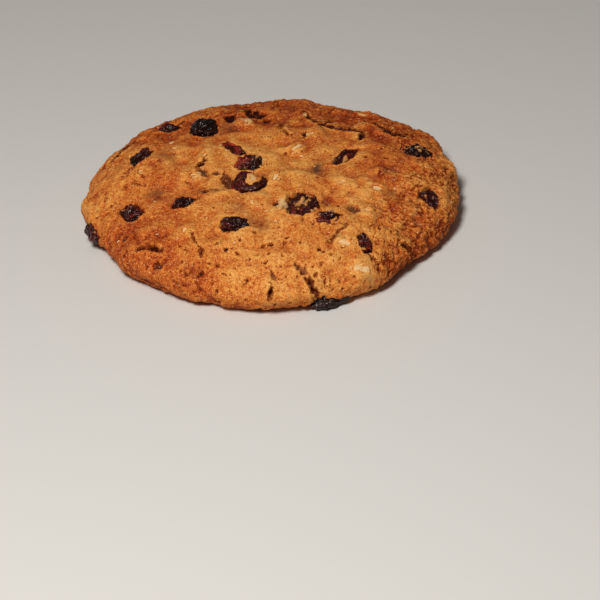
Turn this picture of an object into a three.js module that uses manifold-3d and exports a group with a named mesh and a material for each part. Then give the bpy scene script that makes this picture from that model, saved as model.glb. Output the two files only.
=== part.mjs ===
// An oatmeal raisin cookie, about 95 mm across, lying on its flat base.
// Millimetres, +Z up. The origin is the centre of the outline's box, on the plane that the cookie rests on.
// +X is the cookie's right, +Y its back. Bearings are degrees anticlockwise from +X, seen from above.

import * as THREE from "three";
import { mergeVertices } from "three/addons/utils/BufferGeometryUtils.js";
import Module from "manifold-3d";

const wasm = await Module();
wasm.setup();

// ---- Driving dimensions, in millimetres ----

const RADIUS = 47.5; // of the outline, before its bulges and dents
const HEIGHT = 16.5; // of the smooth dome above the base
const RIM_HEIGHT = 5.2; // where the side is widest
const FOOT_RADIUS = 41.3; // of the flat base
const DOME_FLATNESS = 2.6; // power of the distance from the middle, so a higher one is a flatter top
const DOME_SHOULDER = 1.8; // power of the height, so a higher one is a fuller shoulder

const GAP = 0.3; // round each raisin in its pocket
const SMALL_RAISIN = 4.8; // a narrower raisin than this has fewer faces
const CRUST_DETAIL = 15; // each edge of the icosahedron is cut into this many pieces and one more
const BASE_SHARE = 0.09; // of the icosahedron's surface, for the flat base

// Bulges and dents of the outline: bearing, half-width in degrees, push outwards.
const OUTLINE_PUSHES = [
  [32, 14, 2.0],
  [54, 13, -2.0],
  [74, 7, 1.0],
  [96, 7, -0.8],
  [115, 14, 1.5],
  [175, 18, 0.6],
  [200, 14, -1.0],
  [-116, 10, -0.8],
  [-101, 9, 0.8],
  [-61, 9, 0.6],
  [-38, 15, -1.6],
];

// Swells and hollows of the crust: x, y, radius, lift.
const SWELLS = [
  [-18.3, 22.4, 7.0, -1.7], // hollow round the black raisin
  [-7.8, 22.6, 2.4, 0.9], // pale lump beside it
  [-2.6, 26.5, 3.4, -1.3], // craggy dark hollow at the back
  [12.0, 1.0, 7.5, -0.7], // shallow dip in the middle of the right half
  [31.5, -4.5, 9.5, 1.5], // right lobe
  [31.8, -4.4, 4.2, -1.9], // dent in the right lobe
  [-12.2, -19.3, 7.0, 1.3], // left lobe, in front of its fold
  [-6.5, -5.0, 6.5, -0.9], // dip that holds the middle raisins
  [-5.9, -7.6, 3.6, 1.4], // rise inside the horseshoe raisin, which lifts its two ends
  [4.5, -9.9, 6.5, 0.8], // swell between the middle raisins and the wrinkled one
  [13.8, -30.6, 4.6, 0.7], // ridge beside the diagonal crack
  [1.0, -30.0, 5.0, -0.5], // dip in front of the wrinkled raisin
  [-9.0, -39.0, 9.0, 0.7], // front swell
  [13.5, -41.0, 5.5, 0.6], // front right swell
  [-3.4, -27.4, 3.2, -0.7], // over a sunk raisin
  [20.0, -22.6, 3.0, -0.7], // over a sunk raisin
  [11.4, -4.6, 2.6, -0.8], // over a sunk raisin
  [-17.4, -2.5, 2.4, -0.8], // over a sunk raisin
  [16.0, 27.0, 7.0, -0.9], // behind the long fissure, where the crust slips down
  [8.0, 18.5, 6.0, 0.7], // in front of the long fissure
  [-33.0, 2.0, 8.0, 0.9],
  [-27.0, 15.0, 5.5, -0.8],
  [-30.0, -26.0, 6.5, 0.7],
  [-4.0, 38.0, 6.0, -0.8],
];

// Relief that covers the whole crust: size of its lumps, height.
const RELIEF = [
  [17.0, 1.9],
  [7.0, 1.7],
  [3.3, 1.1],
];

// Raisins on the top: x, y, length, width, thickness, heading, how far it stands out of the crust, the angle
// that it bends through to its left, and the angle that it leans to its right.
const TOP_RAISINS = [
  [-17.2, 21.9, 7.4, 7.8, 7.0, 20, 3.4, 0, 0],
  [-9.3, 7.9, 10.6, 3.6, 3.6, -55, 1.1, -20, 0],
  [-6.0, -0.2, 7.6, 5.8, 4.8, 14, 1.5, 0, 0],
  [-6.3, -12.7, 15.4, 3.9, 4.4, -18, 1.4, 288, 12],
  [7.3, -20.1, 11.0, 8.9, 5.6, 80, 1.2, 0, 0],
  [12.9, -26.7, 4.8, 3.8, 3.4, 0, 0.8, 0, 0],
  [-10.1, -27.2, 7.6, 4.8, 4.2, -8, 1.0, 0, 0],
  [21.6, -34.4, 6.0, 3.6, 3.6, -75, 1.0, 0, 0],
  [19.4, 2.3, 9.4, 3.5, 3.8, 50, 1.0, 22, 0],
  [38.1, 8.2, 8.2, 6.8, 5.0, 10, 1.3, 0, 0],
  [-22.6, -14.6, 7.0, 4.6, 4.4, 5, 0.9, 0, 0],
  [-33.5, 9.5, 8.6, 6.4, 5.2, 70, 1.2, 0, 0],
  [-36.5, -13.0, 7.6, 5.6, 4.8, -40, 0.9, 0, 0],
  [-27.5, 28.0, 8.0, 6.2, 5.0, 150, 1.0, 0, 0],
  [39.5, -13.0, 7.4, 5.0, 4.4, 105, 1.0, 0, 0],
];

// Raisins in the side: bearing, share of the way from the top's middle to the foot, length along the side,
// width, thickness, how far it stands out.
const SIDE_RAISINS = [
  [-75, 0.908, 10.0, 4.0, 4.4, 1.1],
  [98, 0.86, 8.4, 5.4, 5.0, 1.0],
  [192, 0.87, 8.8, 5.4, 5.0, 1.1],
];

// Rolled oat flakes that stand out of the crust where they are told apart: x, y, heading.
const OAT_FLAKES = [
  [6.9, 7.0, 48],
  [0.9, -9.1, 72],
  [26.0, -13.7, -10],
  [16.9, -35.4, -15],
  [20.5, -41.4, -6],
  [-3.9, -18.6, 40],
  [0.4, -27.0, -30],
  [-16.8, 5.1, 60],
  [-14.0, 35.5, 10],
  [25.5, 31.0, 140],
  [33.0, -20.0, 50],
];
const SCATTERED_FLAKES = 13; // more of them, on the rest of the crust
const FLAKE_LENGTH = 4.6;
const FLAKE_WIDTH = 3.4;
const FLAKE_THICKNESS = 0.9;
const FLAKE_RISE = 0.35; // of its middle above the crust
const FLAKE_SIDES = 7;

// Cracks in the crust: half-width, depth, and the points along it.
const CRACKS = [
  [0.8, 2.4, [[13.0, 19.8], [16.0, 19.6], [18.6, 18.6], [21.2, 17.8], [24.3, 16.0]]],
  [0.9, 1.6, [[24.4, 15.2], [24.1, 12.6], [22.8, 9.4]]],
  [0.6, 1.9, [[9.1, 28.6], [10.3, 25.0], [12.4, 21.9], [15.4, 22.2], [16.5, 25.4]]],
  [0.8, 2.4, [[26.2, 21.6], [28.5, 19.8], [30.4, 17.6], [32.6, 15.2], [35.0, 15.0], [36.4, 18.0]]],
  [0.55, 1.8, [[20.0, -27.0], [17.7, -29.4], [15.6, -32.1], [13.0, -35.2]]],
  [0.55, 2.4, [[-1.7, -44.2], [-1.9, -45.6], [-2.0, -46.9], [-1.9, -47.6]]],
  [0.8, 2.4, [[3.6, -40.6], [5.2, -42.2], [6.6, -44.0], [7.7, -45.6], [8.5, -46.7]]],
  [0.7, 2.4, [[22.8, -37.4], [23.9, -38.4], [25.0, -39.4], [25.2, -40.3]]],
  [0.7, 2.2, [[30.8, -31.4], [32.6, -30.9], [34.2, -30.4]]],
  [0.6, 1.9, [[-21.0, -28.2], [-19.8, -31.2], [-18.6, -34.2], [-18.2, -36.2]]],
  [0.6, 1.8, [[-17.8, -11.6], [-15.0, -10.9], [-12.4, -12.4]]],
  [0.8, 2.2, [[-6.6, 34.5], [-5.6, 31.0], [-4.0, 28.6], [-2.0, 27.2]]],
  [0.7, 2.2, [[-36.0, 22.0], [-38.5, 17.5], [-41.5, 14.5]]],
  [0.7, 2.3, [[-28.5, -31.5], [-31.5, -29.5], [-34.5, -28.0]]],
];
const CRACK_CLEARANCE = 1.4; // of the cutter above the crust
const CRACK_STEP = 3.2; // between the cutter's sections

// ---- Colours ----

const DOUGH_COLOUR = 0xc98344;
const RAISIN_COLOUR = 0x35181a;

// ---- Noise ----

// A number from 0 to 1 for a point of the whole-number lattice, always the same for the same point.
function latticeValue(i, j, k) {
  let h = Math.imul(i, 73856093) ^ Math.imul(j, 19349663) ^ Math.imul(k, 83492791);
  h = Math.imul(h ^ (h >>> 13), 1274126177);
  return ((h ^ (h >>> 16)) >>> 0) / 4294967296;
}

const ease = (t) => t * t * (3 - 2 * t);
const mix = THREE.MathUtils.lerp;

// Smooth noise from -0.5 to 0.5: the lattice's values, eased between its eight corners.
function noise(x, y, z) {
  const [i, j, k] = [Math.floor(x), Math.floor(y), Math.floor(z)];
  const [u, v, w] = [ease(x - i), ease(y - j), ease(z - k)];
  const edge = (dj, dk) => mix(latticeValue(i, j + dj, k + dk), latticeValue(i + 1, j + dj, k + dk), u);
  return mix(mix(edge(0, 0), edge(1, 0), v), mix(edge(0, 1), edge(1, 1), v), w) - 0.5;
}

// ---- The crust ----

const degrees = THREE.MathUtils.degToRad;

// Distance of the outline from the middle at a bearing in radians.
function outlineRadius(bearing) {
  let radius = RADIUS;
  for (const [at, width, push] of OUTLINE_PUSHES) {
    const apart = THREE.MathUtils.euclideanModulo(bearing - degrees(at) + Math.PI, 2 * Math.PI) - Math.PI;
    radius += push * Math.exp(-((apart / degrees(width)) ** 2));
  }
  return radius;
}

// Half of the upright section through the middle: over the dome, round the rim and under to the foot.
class CrustSection extends THREE.Curve {
  getPoint(t, target = new THREE.Vector2()) {
    const domeShare = 0.85;
    if (t < domeShare) {
      const turn = ((t / domeShare) * Math.PI) / 2;
      const out = RADIUS * Math.sin(turn) ** (2 / DOME_FLATNESS);
      const up = (HEIGHT - RIM_HEIGHT) * Math.max(Math.cos(turn), 0) ** (2 / DOME_SHOULDER);
      return target.set(out, RIM_HEIGHT + up);
    }
    const turn = (((t - domeShare) / (1 - domeShare)) * Math.PI) / 2;
    const out = FOOT_RADIUS + (RADIUS - FOOT_RADIUS) * Math.cos(turn);
    return target.set(out, RIM_HEIGHT * (1 - Math.sin(turn)));
  }
}
const section = new CrustSection();
section.arcLengthDivisions = 800;

// How far the crust stands off the smooth dome at a point of it.
function lift(x, y, z) {
  let up = 0;
  for (const [atX, atY, radius, height] of SWELLS) {
    up += height * Math.exp(-((x - atX) ** 2 + (y - atY) ** 2) / radius ** 2);
  }
  for (const [size, height] of RELIEF) {
    up += height * noise(x / size, y / size, z / size + size);
  }
  return up * ease(THREE.MathUtils.clamp((z - 0.2) / 3, 0, 1));
}

// The crust's point and outward normal at a bearing and a share of the way from the top's middle to the foot.
function crustAt(bearing, share) {
  const flat = section.getPointAt(share);
  const slope = section.getTangentAt(share);
  const out = (flat.x * outlineRadius(bearing)) / RADIUS;
  const [c, s] = [Math.cos(bearing), Math.sin(bearing)];
  const normal = new THREE.Vector3(-slope.y * c, -slope.y * s, slope.x);
  const point = new THREE.Vector3(out * c, out * s, flat.y);
  return { point: point.addScaledVector(normal, lift(point.x, point.y, point.z)), normal };
}

// The same for a place on the top that is given by its x and y.
function topAt(x, y) {
  const bearing = Math.atan2(y, x);
  const out = (Math.hypot(x, y) * RADIUS) / outlineRadius(bearing);
  let [low, high] = [0, 1];
  while (high - low > 1e-4) {
    const share = (low + high) / 2;
    const flat = section.getPointAt(share);
    if (flat.x < out && flat.y > RIM_HEIGHT) low = share;
    else high = share;
  }
  return crustAt(bearing, low);
}

// Centre of the outline's box, which the finished cookie is moved back by.
function outlineCentre() {
  const box = new THREE.Box2();
  for (let step = 0; step < 720; step++) {
    const bearing = degrees(step / 2);
    const out = outlineRadius(bearing);
    box.expandByPoint(new THREE.Vector2(out * Math.cos(bearing), out * Math.sin(bearing)));
  }
  return box.getCenter(new THREE.Vector2());
}

// ---- Solids ----

// A geometry with only its places left and every shared corner merged.
function bare(geometry) {
  geometry.deleteAttribute("normal");
  geometry.deleteAttribute("uv");
  return mergeVertices(geometry, 1e-4);
}

// The same geometry with each corner moved to where place(corner) says.
function warp(geometry, place) {
  const shaped = bare(geometry);
  const corners = shaped.attributes.position;
  const corner = new THREE.Vector3();
  for (let n = 0; n < corners.count; n++) {
    const moved = place(corner.fromBufferAttribute(corners, n));
    corners.setXYZ(n, moved.x, moved.y, moved.z);
  }
  return shaped;
}

function solidFrom(geometry) {
  const vertProperties = geometry.attributes.position.array;
  const triVerts = new Uint32Array(geometry.index.array);
  return new wasm.Manifold(new wasm.Mesh({ numProp: 3, vertProperties, triVerts }));
}

function geometryFrom(solid) {
  const mesh = solid.getMesh();
  const geometry = new THREE.BufferGeometry();
  geometry.setAttribute("position", new THREE.BufferAttribute(mesh.vertProperties, 3));
  geometry.setIndex(new THREE.BufferAttribute(mesh.triVerts, 1));
  return geometry;
}

// The largest body of a solid, without the scraps that cutting leaves.
function largestBody(solid) {
  return solid.decompose().sort((a, b) => b.volume() - a.volume())[0];
}

// The whole cookie without its raisins' pockets: an icosahedron's sphere pulled over the dome and flattened below.
function crustGeometry() {
  const baseCosine = 2 * BASE_SHARE - 1;
  return warp(new THREE.IcosahedronGeometry(1, CRUST_DETAIL), ({ x, y, z }) => {
    const bearing = Math.atan2(y, x);
    const share = Math.sqrt((1 - z) / (1 - baseCosine));
    if (share < 1) return crustAt(bearing, share).point;
    const inwards = Math.sqrt(Math.max(1 + z, 0) / (1 + baseCosine));
    const out = ((FOOT_RADIUS * outlineRadius(bearing)) / RADIUS) * inwards;
    return new THREE.Vector3(out * Math.cos(bearing), out * Math.sin(bearing), 0);
  });
}

// Three directions at a place on the crust: along a heading, across it, and out of the crust.
function axesAt(normal, along) {
  const out = normal.clone().normalize();
  const across = new THREE.Vector3().crossVectors(out, along).normalize();
  return { along: new THREE.Vector3().crossVectors(across, out), across, out };
}

// A wrinkled raisin, or with a margin the pocket that holds it. A bent one has its length laid along an arc.
function raisinGeometry({ point, axes, length, width, thickness, rise, bend, seed }, margin = 0) {
  const middle = point.clone().addScaledVector(axes.out, rise - thickness / 2);
  const wrinkles = 2.1; // lumps of the skin across a raisin
  const simple = width < SMALL_RAISIN && Math.abs(bend) < 90;
  const detail = simple ? 1 : 2;
  return warp(new THREE.IcosahedronGeometry(1, detail), ({ x, y, z }) => {
    const bump = noise(x * wrinkles + seed, y * wrinkles + 3, z * wrinkles - 5);
    const size = 0.97 + 0.34 * bump;
    let along = x * ((size * length) / 2 + margin);
    let across = y * ((size * width) / 2 + margin);
    if (bend !== 0) {
      const arcRadius = length / degrees(bend);
      const turn = along / arcRadius;
      along = (arcRadius - across) * Math.sin(turn);
      across = arcRadius - (arcRadius - across) * Math.cos(turn);
    }
    return middle
      .clone()
      .addScaledVector(axes.along, along)
      .addScaledVector(axes.across, across)
      .addScaledVector(axes.out, z * ((size * thickness) / 2 + margin));
  });
}

// A rolled oat flake: a thin disc, a little oval and a little tilted, half sunk in the crust.
function flakeGeometry({ point, normal }, heading, seed) {
  const along = new THREE.Vector3(Math.cos(heading), Math.sin(heading), 0);
  const axes = axesAt(normal, along);
  const [tiltAlong, tiltAcross] = [0.4 * noise(seed, 0.5, 0.5), 0.5 * noise(seed, 2.5, 0.5)];
  const scale = 1 + 0.5 * noise(seed, 4.5, 0.5);
  return warp(new THREE.CylinderGeometry(1, 1, 1, FLAKE_SIDES), ({ x, y, z }) => {
    const [u, v] = [(x * FLAKE_LENGTH * scale) / 2, (-z * FLAKE_WIDTH * scale) / 2];
    const up = FLAKE_RISE + (y - 0.5) * FLAKE_THICKNESS + u * tiltAlong + v * tiltAcross;
    return point
      .clone()
      .addScaledVector(axes.along, u)
      .addScaledVector(axes.across, v)
      .addScaledVector(axes.out, up);
  });
}

// The cutter of a crack: a three-sided wedge that follows the crack with its edge down.
function crackGeometry([halfWidth, depth, points]) {
  const route = new THREE.CatmullRomCurve3(points.map(([x, y]) => new THREE.Vector3(x, y, 0)));
  const steps = Math.max(2, Math.round(route.getLength() / CRACK_STEP));
  return warp(new THREE.CylinderGeometry(1, 1, 1, 3, steps), ({ x, y, z }) => {
    const share = THREE.MathUtils.clamp(0.5 - y, 0, 1);
    const at = route.getPointAt(share);
    const { point, normal } = topAt(at.x, at.y);
    const axes = axesAt(normal, route.getTangentAt(share));
    const taper = 0.2 + 0.8 * Math.sqrt(Math.sin(Math.PI * THREE.MathUtils.clamp(share, 0.02, 0.98)));
    const sideways = (x / Math.sin(degrees(60))) * halfWidth * taper;
    const up = z > 0 ? -depth * taper * z : -2 * z * CRACK_CLEARANCE;
    return point.addScaledVector(axes.across, -sideways).addScaledVector(axes.out, up);
  });
}

// ---- Where everything lies ----

function topRaisin([x, y, length, width, thickness, heading, rise, bend, lean], index) {
  const { point, normal } = topAt(x, y);
  const along = new THREE.Vector3(Math.cos(degrees(heading)), Math.sin(degrees(heading)), 0);
  normal.applyAxisAngle(along, degrees(lean));
  const seed = 7.3 * index + 1.5;
  return { point, axes: axesAt(normal, along), length, width, thickness, rise, bend, seed };
}

function sideRaisin([bearing, share, length, width, thickness, rise], index) {
  const { point, normal } = crustAt(degrees(bearing), share);
  const along = new THREE.Vector3(-Math.sin(degrees(bearing)), Math.cos(degrees(bearing)), 0);
  const seed = 5.1 * index + 90.5;
  return { point, axes: axesAt(normal, along), length, width, thickness, rise, bend: 0, seed };
}

const raisins = [...TOP_RAISINS.map(topRaisin), ...SIDE_RAISINS.map(sideRaisin)];

// More flakes by a rule: the golden angle spreads them evenly, and any that meets a raisin is skipped.
function scatteredFlakes() {
  const goldenAngle = Math.PI * (3 - Math.sqrt(5));
  const found = [];
  for (let step = 3; found.length < SCATTERED_FLAKES; step++) {
    const place = crustAt(step * goldenAngle, 0.15 + 0.62 * Math.sqrt(step / 40));
    const clear = (other, room) => place.point.distanceTo(other) > room;
    const free =
      raisins.every(({ point, length }) => clear(point, length / 2 + 3.4)) &&
      OAT_FLAKES.every(([x, y]) => clear(topAt(x, y).point, 7));
    if (free) found.push([place, step * 2.4]);
  }
  return found;
}

// ---- The cookie ----

let dough = solidFrom(crustGeometry());
OAT_FLAKES.forEach(([x, y, heading], index) => {
  dough = dough.add(solidFrom(flakeGeometry(topAt(x, y), degrees(heading), index + 0.5)));
});
scatteredFlakes().forEach(([place, heading], index) => {
  dough = dough.add(solidFrom(flakeGeometry(place, heading, index + 40.5)));
});
for (const crack of CRACKS) dough = dough.subtract(solidFrom(crackGeometry(crack)));
for (const raisin of raisins) dough = dough.subtract(solidFrom(raisinGeometry(raisin, GAP)));

const cookie = new THREE.Group();
cookie.name = "oatmeal_raisin_cookie";
const centre = outlineCentre();
cookie.position.set(-centre.x, -centre.y, 0);

const doughFinish = new THREE.MeshStandardMaterial({ color: DOUGH_COLOUR, roughness: 0.85, metalness: 0 });
const raisinFinish = new THREE.MeshStandardMaterial({ color: RAISIN_COLOUR, roughness: 0.4, metalness: 0 });

const crust = new THREE.Mesh(geometryFrom(largestBody(dough)), doughFinish);
crust.name = "cookie";
cookie.add(crust);

raisins.forEach((raisin, index) => {
  const mesh = new THREE.Mesh(raisinGeometry(raisin), raisinFinish);
  mesh.name = "raisin_" + String(index + 1).padStart(2, "0");
  cookie.add(mesh);
});

export default cookie;
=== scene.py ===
# %% [markdown]
# # An oatmeal raisin cookie
# A chewy cookie of about 95 mm, baked as a mound of dough that slumped into a dome with a rounded rim. Its
# crust is craggy and browned, with cracks, pores and crumbs, and raisins and rolled oats show through it.
# The solids already hold the form: a crust with its main cracks and flakes, and each raisin in its pocket.
# This script dresses them: every surface is worked out with numpy as a function of two parameters, in
# millimetres, from the same named sizes as the solids, and is handed to Blender in metres.

# %% Load the solids that everything is built around
import math

import bpy
import numpy as np
from mathutils import Matrix, Vector


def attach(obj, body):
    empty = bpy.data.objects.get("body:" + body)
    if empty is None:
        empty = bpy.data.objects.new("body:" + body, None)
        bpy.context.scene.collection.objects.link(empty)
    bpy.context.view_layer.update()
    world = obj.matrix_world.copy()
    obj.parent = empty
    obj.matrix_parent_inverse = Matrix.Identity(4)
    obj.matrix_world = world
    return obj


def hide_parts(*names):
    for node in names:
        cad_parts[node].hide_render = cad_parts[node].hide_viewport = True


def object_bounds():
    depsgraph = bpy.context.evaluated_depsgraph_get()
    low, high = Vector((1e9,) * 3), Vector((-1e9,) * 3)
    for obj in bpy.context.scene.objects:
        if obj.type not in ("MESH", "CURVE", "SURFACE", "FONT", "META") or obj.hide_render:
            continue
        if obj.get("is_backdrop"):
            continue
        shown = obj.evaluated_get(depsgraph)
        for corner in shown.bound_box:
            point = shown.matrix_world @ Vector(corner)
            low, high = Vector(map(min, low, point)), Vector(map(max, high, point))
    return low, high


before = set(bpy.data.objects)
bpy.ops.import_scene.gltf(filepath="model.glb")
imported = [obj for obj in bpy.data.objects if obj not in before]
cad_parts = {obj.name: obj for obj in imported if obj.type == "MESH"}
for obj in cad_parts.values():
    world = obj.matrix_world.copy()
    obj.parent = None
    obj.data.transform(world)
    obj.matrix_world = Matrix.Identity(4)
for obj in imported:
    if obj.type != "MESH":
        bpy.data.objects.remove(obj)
cad_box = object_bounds()
MM = 0.001
print("solids:", len(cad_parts), "box in mm:", [round(v / MM, 1) for corner in cad_box for v in corner])

# %% [markdown]
# ## Noise that never changes
# Baked dough is uneven at every size, so noise is needed that is smooth, cheap on whole arrays and the same
# on each run. Value noise does it: whole numbers of a lattice are hashed to values, which are eased between
# the eight corners of a point's cube. The solids use the same hash, so the large lumps agree with them.

# %% Values of the lattice, and noise between them


def lattice_value(i, j, k):
    """A number from 0 to 1 for whole i, j, k: three products, exclusive-ored, multiplied and folded again."""
    i, j, k = ((np.asarray(n).astype(np.int64) & 0xFFFFFFFF).astype(np.uint32) for n in (i, j, k))
    h = (i * np.uint32(73856093)) ^ (j * np.uint32(19349663)) ^ (k * np.uint32(83492791))
    h = (h ^ (h >> np.uint32(13))) * np.uint32(1274126177)
    return (h ^ (h >> np.uint32(16))) / 4294967296.0


def ease(t):
    """Three t squared less two t cubed, which leaves 0 and reaches 1 with no slope."""
    return t * t * (3 - 2 * t)


def between(low, high, x):
    """0 up to low, 1 from high on, eased in between. With low above high it falls instead of rising."""
    return ease(np.clip((x - low) / (high - low), 0, 1))


def bell(distance, width):
    """One at no distance, falling as e to the minus square of distance over width."""
    return np.exp(-((distance / width) ** 2))


def noise(x, y, z):
    """From -0.5 to 0.5: the lattice's values at a point's eight corners, eased along each axis in turn."""
    x, y, z = np.broadcast_arrays(x, y, z)
    i, j, k = np.floor(x), np.floor(y), np.floor(z)
    u, v, w = ease(x - i), ease(y - j), ease(z - k)

    def edge(dj, dk):
        start, end = lattice_value(i, j + dj, k + dk), lattice_value(i + 1, j + dj, k + dk)
        return start + (end - start) * u

    low, high = edge(0, 0) + (edge(1, 0) - edge(0, 0)) * v, edge(0, 1) + (edge(1, 1) - edge(0, 1)) * v
    return low + (high - low) * w - 0.5


def noise_at(points, size, salt=0.0):
    """Noise with lumps of about that size, at points in millimetres. A salt picks another pattern."""
    x, y, z = (points / size).T
    return noise(x + salt, y - 0.7 * salt, z + 0.3 * salt)


def drift(points, size, salts):
    """A push for each point, with one noise of that size in each direction."""
    return np.stack([noise_at(points, size, salt) for salt in salts], 1)


def summed(points, layers):
    """Noises added up, each given as its height, its size and its salt."""
    return sum(height * noise_at(points, size, salt) for height, size, salt in layers)


print("noise at three points:", np.round(noise(np.array([0.3, 1.7, 9.1]), 0.4, 2.2), 3))

# %% [markdown]
# ## The form of the crust
# From the middle the dome falls slowly, turns over a full shoulder to the rim, and curls under to the flat
# foot that stood on the baking sheet. One section through it, turned round the middle and stretched to the
# outline's bulges and dents, gives the whole skin. A place on it is a bearing, in degrees anticlockwise from
# +X, and a share of the way from the middle of the top to the foot. These are the solids' own sizes.

# %% The driving sizes, in millimetres
RADIUS = 47.5
HEIGHT = 16.5
RIM_HEIGHT = 5.2
FOOT_RADIUS = 41.3
DOME_FLATNESS = 2.6
DOME_SHOULDER = 1.8
DOME_SHARE = 0.85
SIDE_REACH = 0.1  # how far beyond the outline a place named by x and y may lie, as a share of the radius
# Bearing, half-width in degrees and push outwards of each bulge and dent of the outline.
OUTLINE_PUSHES = [
    (32, 14, 2.0), (54, 13, -2.0), (74, 7, 1.0), (96, 7, -0.8), (115, 14, 1.5), (175, 18, 0.6),
    (200, 14, -1.0), (-116, 10, -0.8), (-101, 9, 0.8), (-61, 9, 0.6), (-38, 15, -1.6),
]


def outline_radius(bearing):
    """The radius, plus each push times a bell of how far the bearing is from it, with bearings in radians."""
    radius = np.full(np.shape(bearing), RADIUS)
    for at, width, push in OUTLINE_PUSHES:
        apart = (bearing - math.radians(at) + np.pi) % (2 * np.pi) - np.pi
        radius = radius + push * bell(apart, math.radians(width))
    return radius


def outline_centre():
    """The middle of the box round the outline, which the cookie is moved back by."""
    bearing = np.radians(np.arange(720) / 2)
    out = outline_radius(bearing)
    edge = np.stack([out * np.cos(bearing), out * np.sin(bearing)])
    return np.append((edge.min(1) + edge.max(1)) / 2, 0.0)


CENTRE = outline_centre()
print("outline from", outline_radius(np.radians(range(360))).min().round(1), "mm; centre", CENTRE.round(2))

# %% The section, measured along its length


def section_point(t):
    """Half a rounded oval for the dome, then a quarter of an ellipse that curls under to the foot."""
    over = np.clip(t / DOME_SHARE, 0, 1) * np.pi / 2
    under = np.clip((t - DOME_SHARE) / (1 - DOME_SHARE), 0, 1) * np.pi / 2
    dome_out = RADIUS * np.sin(over) ** (2 / DOME_FLATNESS)
    dome_up = RIM_HEIGHT + (HEIGHT - RIM_HEIGHT) * np.maximum(np.cos(over), 0) ** (2 / DOME_SHOULDER)
    curl_out = FOOT_RADIUS + (RADIUS - FOOT_RADIUS) * np.cos(under)
    curl_up = RIM_HEIGHT * (1 - np.sin(under))
    dome = t < DOME_SHARE
    return np.where(dome, dome_out, curl_out), np.where(dome, dome_up, curl_up)


section_t = np.linspace(0, 1, 6001)
section_out, section_up = section_point(section_t)
section_length = np.concatenate([[0], np.cumsum(np.hypot(np.diff(section_out), np.diff(section_up)))])
SKIN_LENGTH = section_length[-1]
section_share = section_length / SKIN_LENGTH
slope_out = np.gradient(section_out, section_length)
slope_up = np.gradient(section_up, section_length)
print("from the middle of the top to the foot:", round(SKIN_LENGTH, 1), "mm")

# %% Swells, hollows and lumps of the crust
# x, y, radius and lift of each.
SWELLS = [
    (-18.3, 22.4, 7.0, -1.7), (-7.8, 22.6, 2.4, 0.9), (-2.6, 26.5, 3.4, -1.3), (12.0, 1.0, 7.5, -0.7),
    (31.5, -4.5, 9.5, 1.5), (31.8, -4.4, 4.2, -1.9), (-12.2, -19.3, 7.0, 1.3), (-6.5, -5.0, 6.5, -0.9),
    (-5.9, -7.6, 3.6, 1.4), (4.5, -9.9, 6.5, 0.8), (13.8, -30.6, 4.6, 0.7), (1.0, -30.0, 5.0, -0.5),
    (-9.0, -39.0, 9.0, 0.7), (13.5, -41.0, 5.5, 0.6), (-3.4, -27.4, 3.2, -0.7), (20.0, -22.6, 3.0, -0.7),
    (11.4, -4.6, 2.6, -0.8), (-17.4, -2.5, 2.4, -0.8), (16.0, 27.0, 7.0, -0.9), (8.0, 18.5, 6.0, 0.7),
    (-33.0, 2.0, 8.0, 0.9), (-27.0, 15.0, 5.5, -0.8), (-30.0, -26.0, 6.5, 0.7), (-4.0, 38.0, 6.0, -0.8),
]
# Size and height of the lumps that cover it.
LUMPS = [(17.0, 1.9), (7.0, 1.7), (3.3, 1.1)]


def lift(points):
    """The swells' bells and the lumps' noise, summed, and faded out towards the base."""
    x, y, z = points.T
    up = np.zeros(len(points))
    for at_x, at_y, radius, height in SWELLS:
        up += height * bell(np.hypot(x - at_x, y - at_y), radius)
    for size, height in LUMPS:
        up += height * noise(x / size, y / size, z / size + size)
    return up * ease(np.clip((z - 0.2) / 3, 0, 1))


def dome_at(bearing, share):
    """The section's point at a share, turned to the bearing and stretched to the outline, and its normal."""
    out = np.interp(share, section_share, section_out) * outline_radius(bearing) / RADIUS
    up = np.interp(share, section_share, section_up)
    down = -np.interp(share, section_share, slope_up)
    level = np.interp(share, section_share, slope_out)
    c, s = np.cos(bearing), np.sin(bearing)
    return np.stack([out * c, out * s, up], 1), np.stack([down * c, down * s, level], 1)


def crust_at(bearing, share):
    """The dome's point lifted along its normal, and the normal."""
    points, normals = dome_at(np.atleast_1d(bearing), np.atleast_1d(share))
    return points + normals * lift(points)[:, None], normals


def share_at(x, y):
    """The bearing and the share of places on the top: the dome's out, as a power of a sine, solved for t.

    A place beyond the outline counts as that much further down the side.
    """
    bearing = np.arctan2(y, x)
    out = np.hypot(x, y) / outline_radius(bearing)
    turn = np.arcsin(np.clip(out, 0, 1) ** (DOME_FLATNESS / 2))
    t = turn / (np.pi / 2) * DOME_SHARE + np.clip(out - 1, 0, SIDE_REACH)
    return bearing, np.interp(t, section_t, section_share)


def top_at(x, y):
    """The crust's point and normal at places on the top given by x and y."""
    return crust_at(*share_at(np.atleast_1d(np.asarray(x, float)), np.atleast_1d(np.asarray(y, float))))


print("height over the origin:", top_at(0.0, 0.0)[0][0, 2].round(2), "mm")

# %% [markdown]
# ## What lies in the crust
# Raisins are pressed into the dough before it bakes, so each one sits in a socket that its own shape made,
# some of them bent round a lump of dough. The oat flakes are thin discs that come through the crust at every
# heading. Both are listed where the solids have them, so that this crust makes room for the same things.

# %% Directions on the crust


def axes_at(normal, along):
    """Three directions as rows: along a heading, across it, and out of the crust."""
    out = normal / np.linalg.norm(normal)
    across = np.cross(out, along)
    across = across / np.linalg.norm(across)
    return np.stack([np.cross(across, out), across, out])


def flat_heading(degrees):
    """A level direction at that many degrees from +X."""
    return np.array([math.cos(math.radians(degrees)), math.sin(math.radians(degrees)), 0.0])


print("axes at the origin:\n", axes_at(top_at(0, 0)[1][0], flat_heading(30)).round(2))

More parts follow.
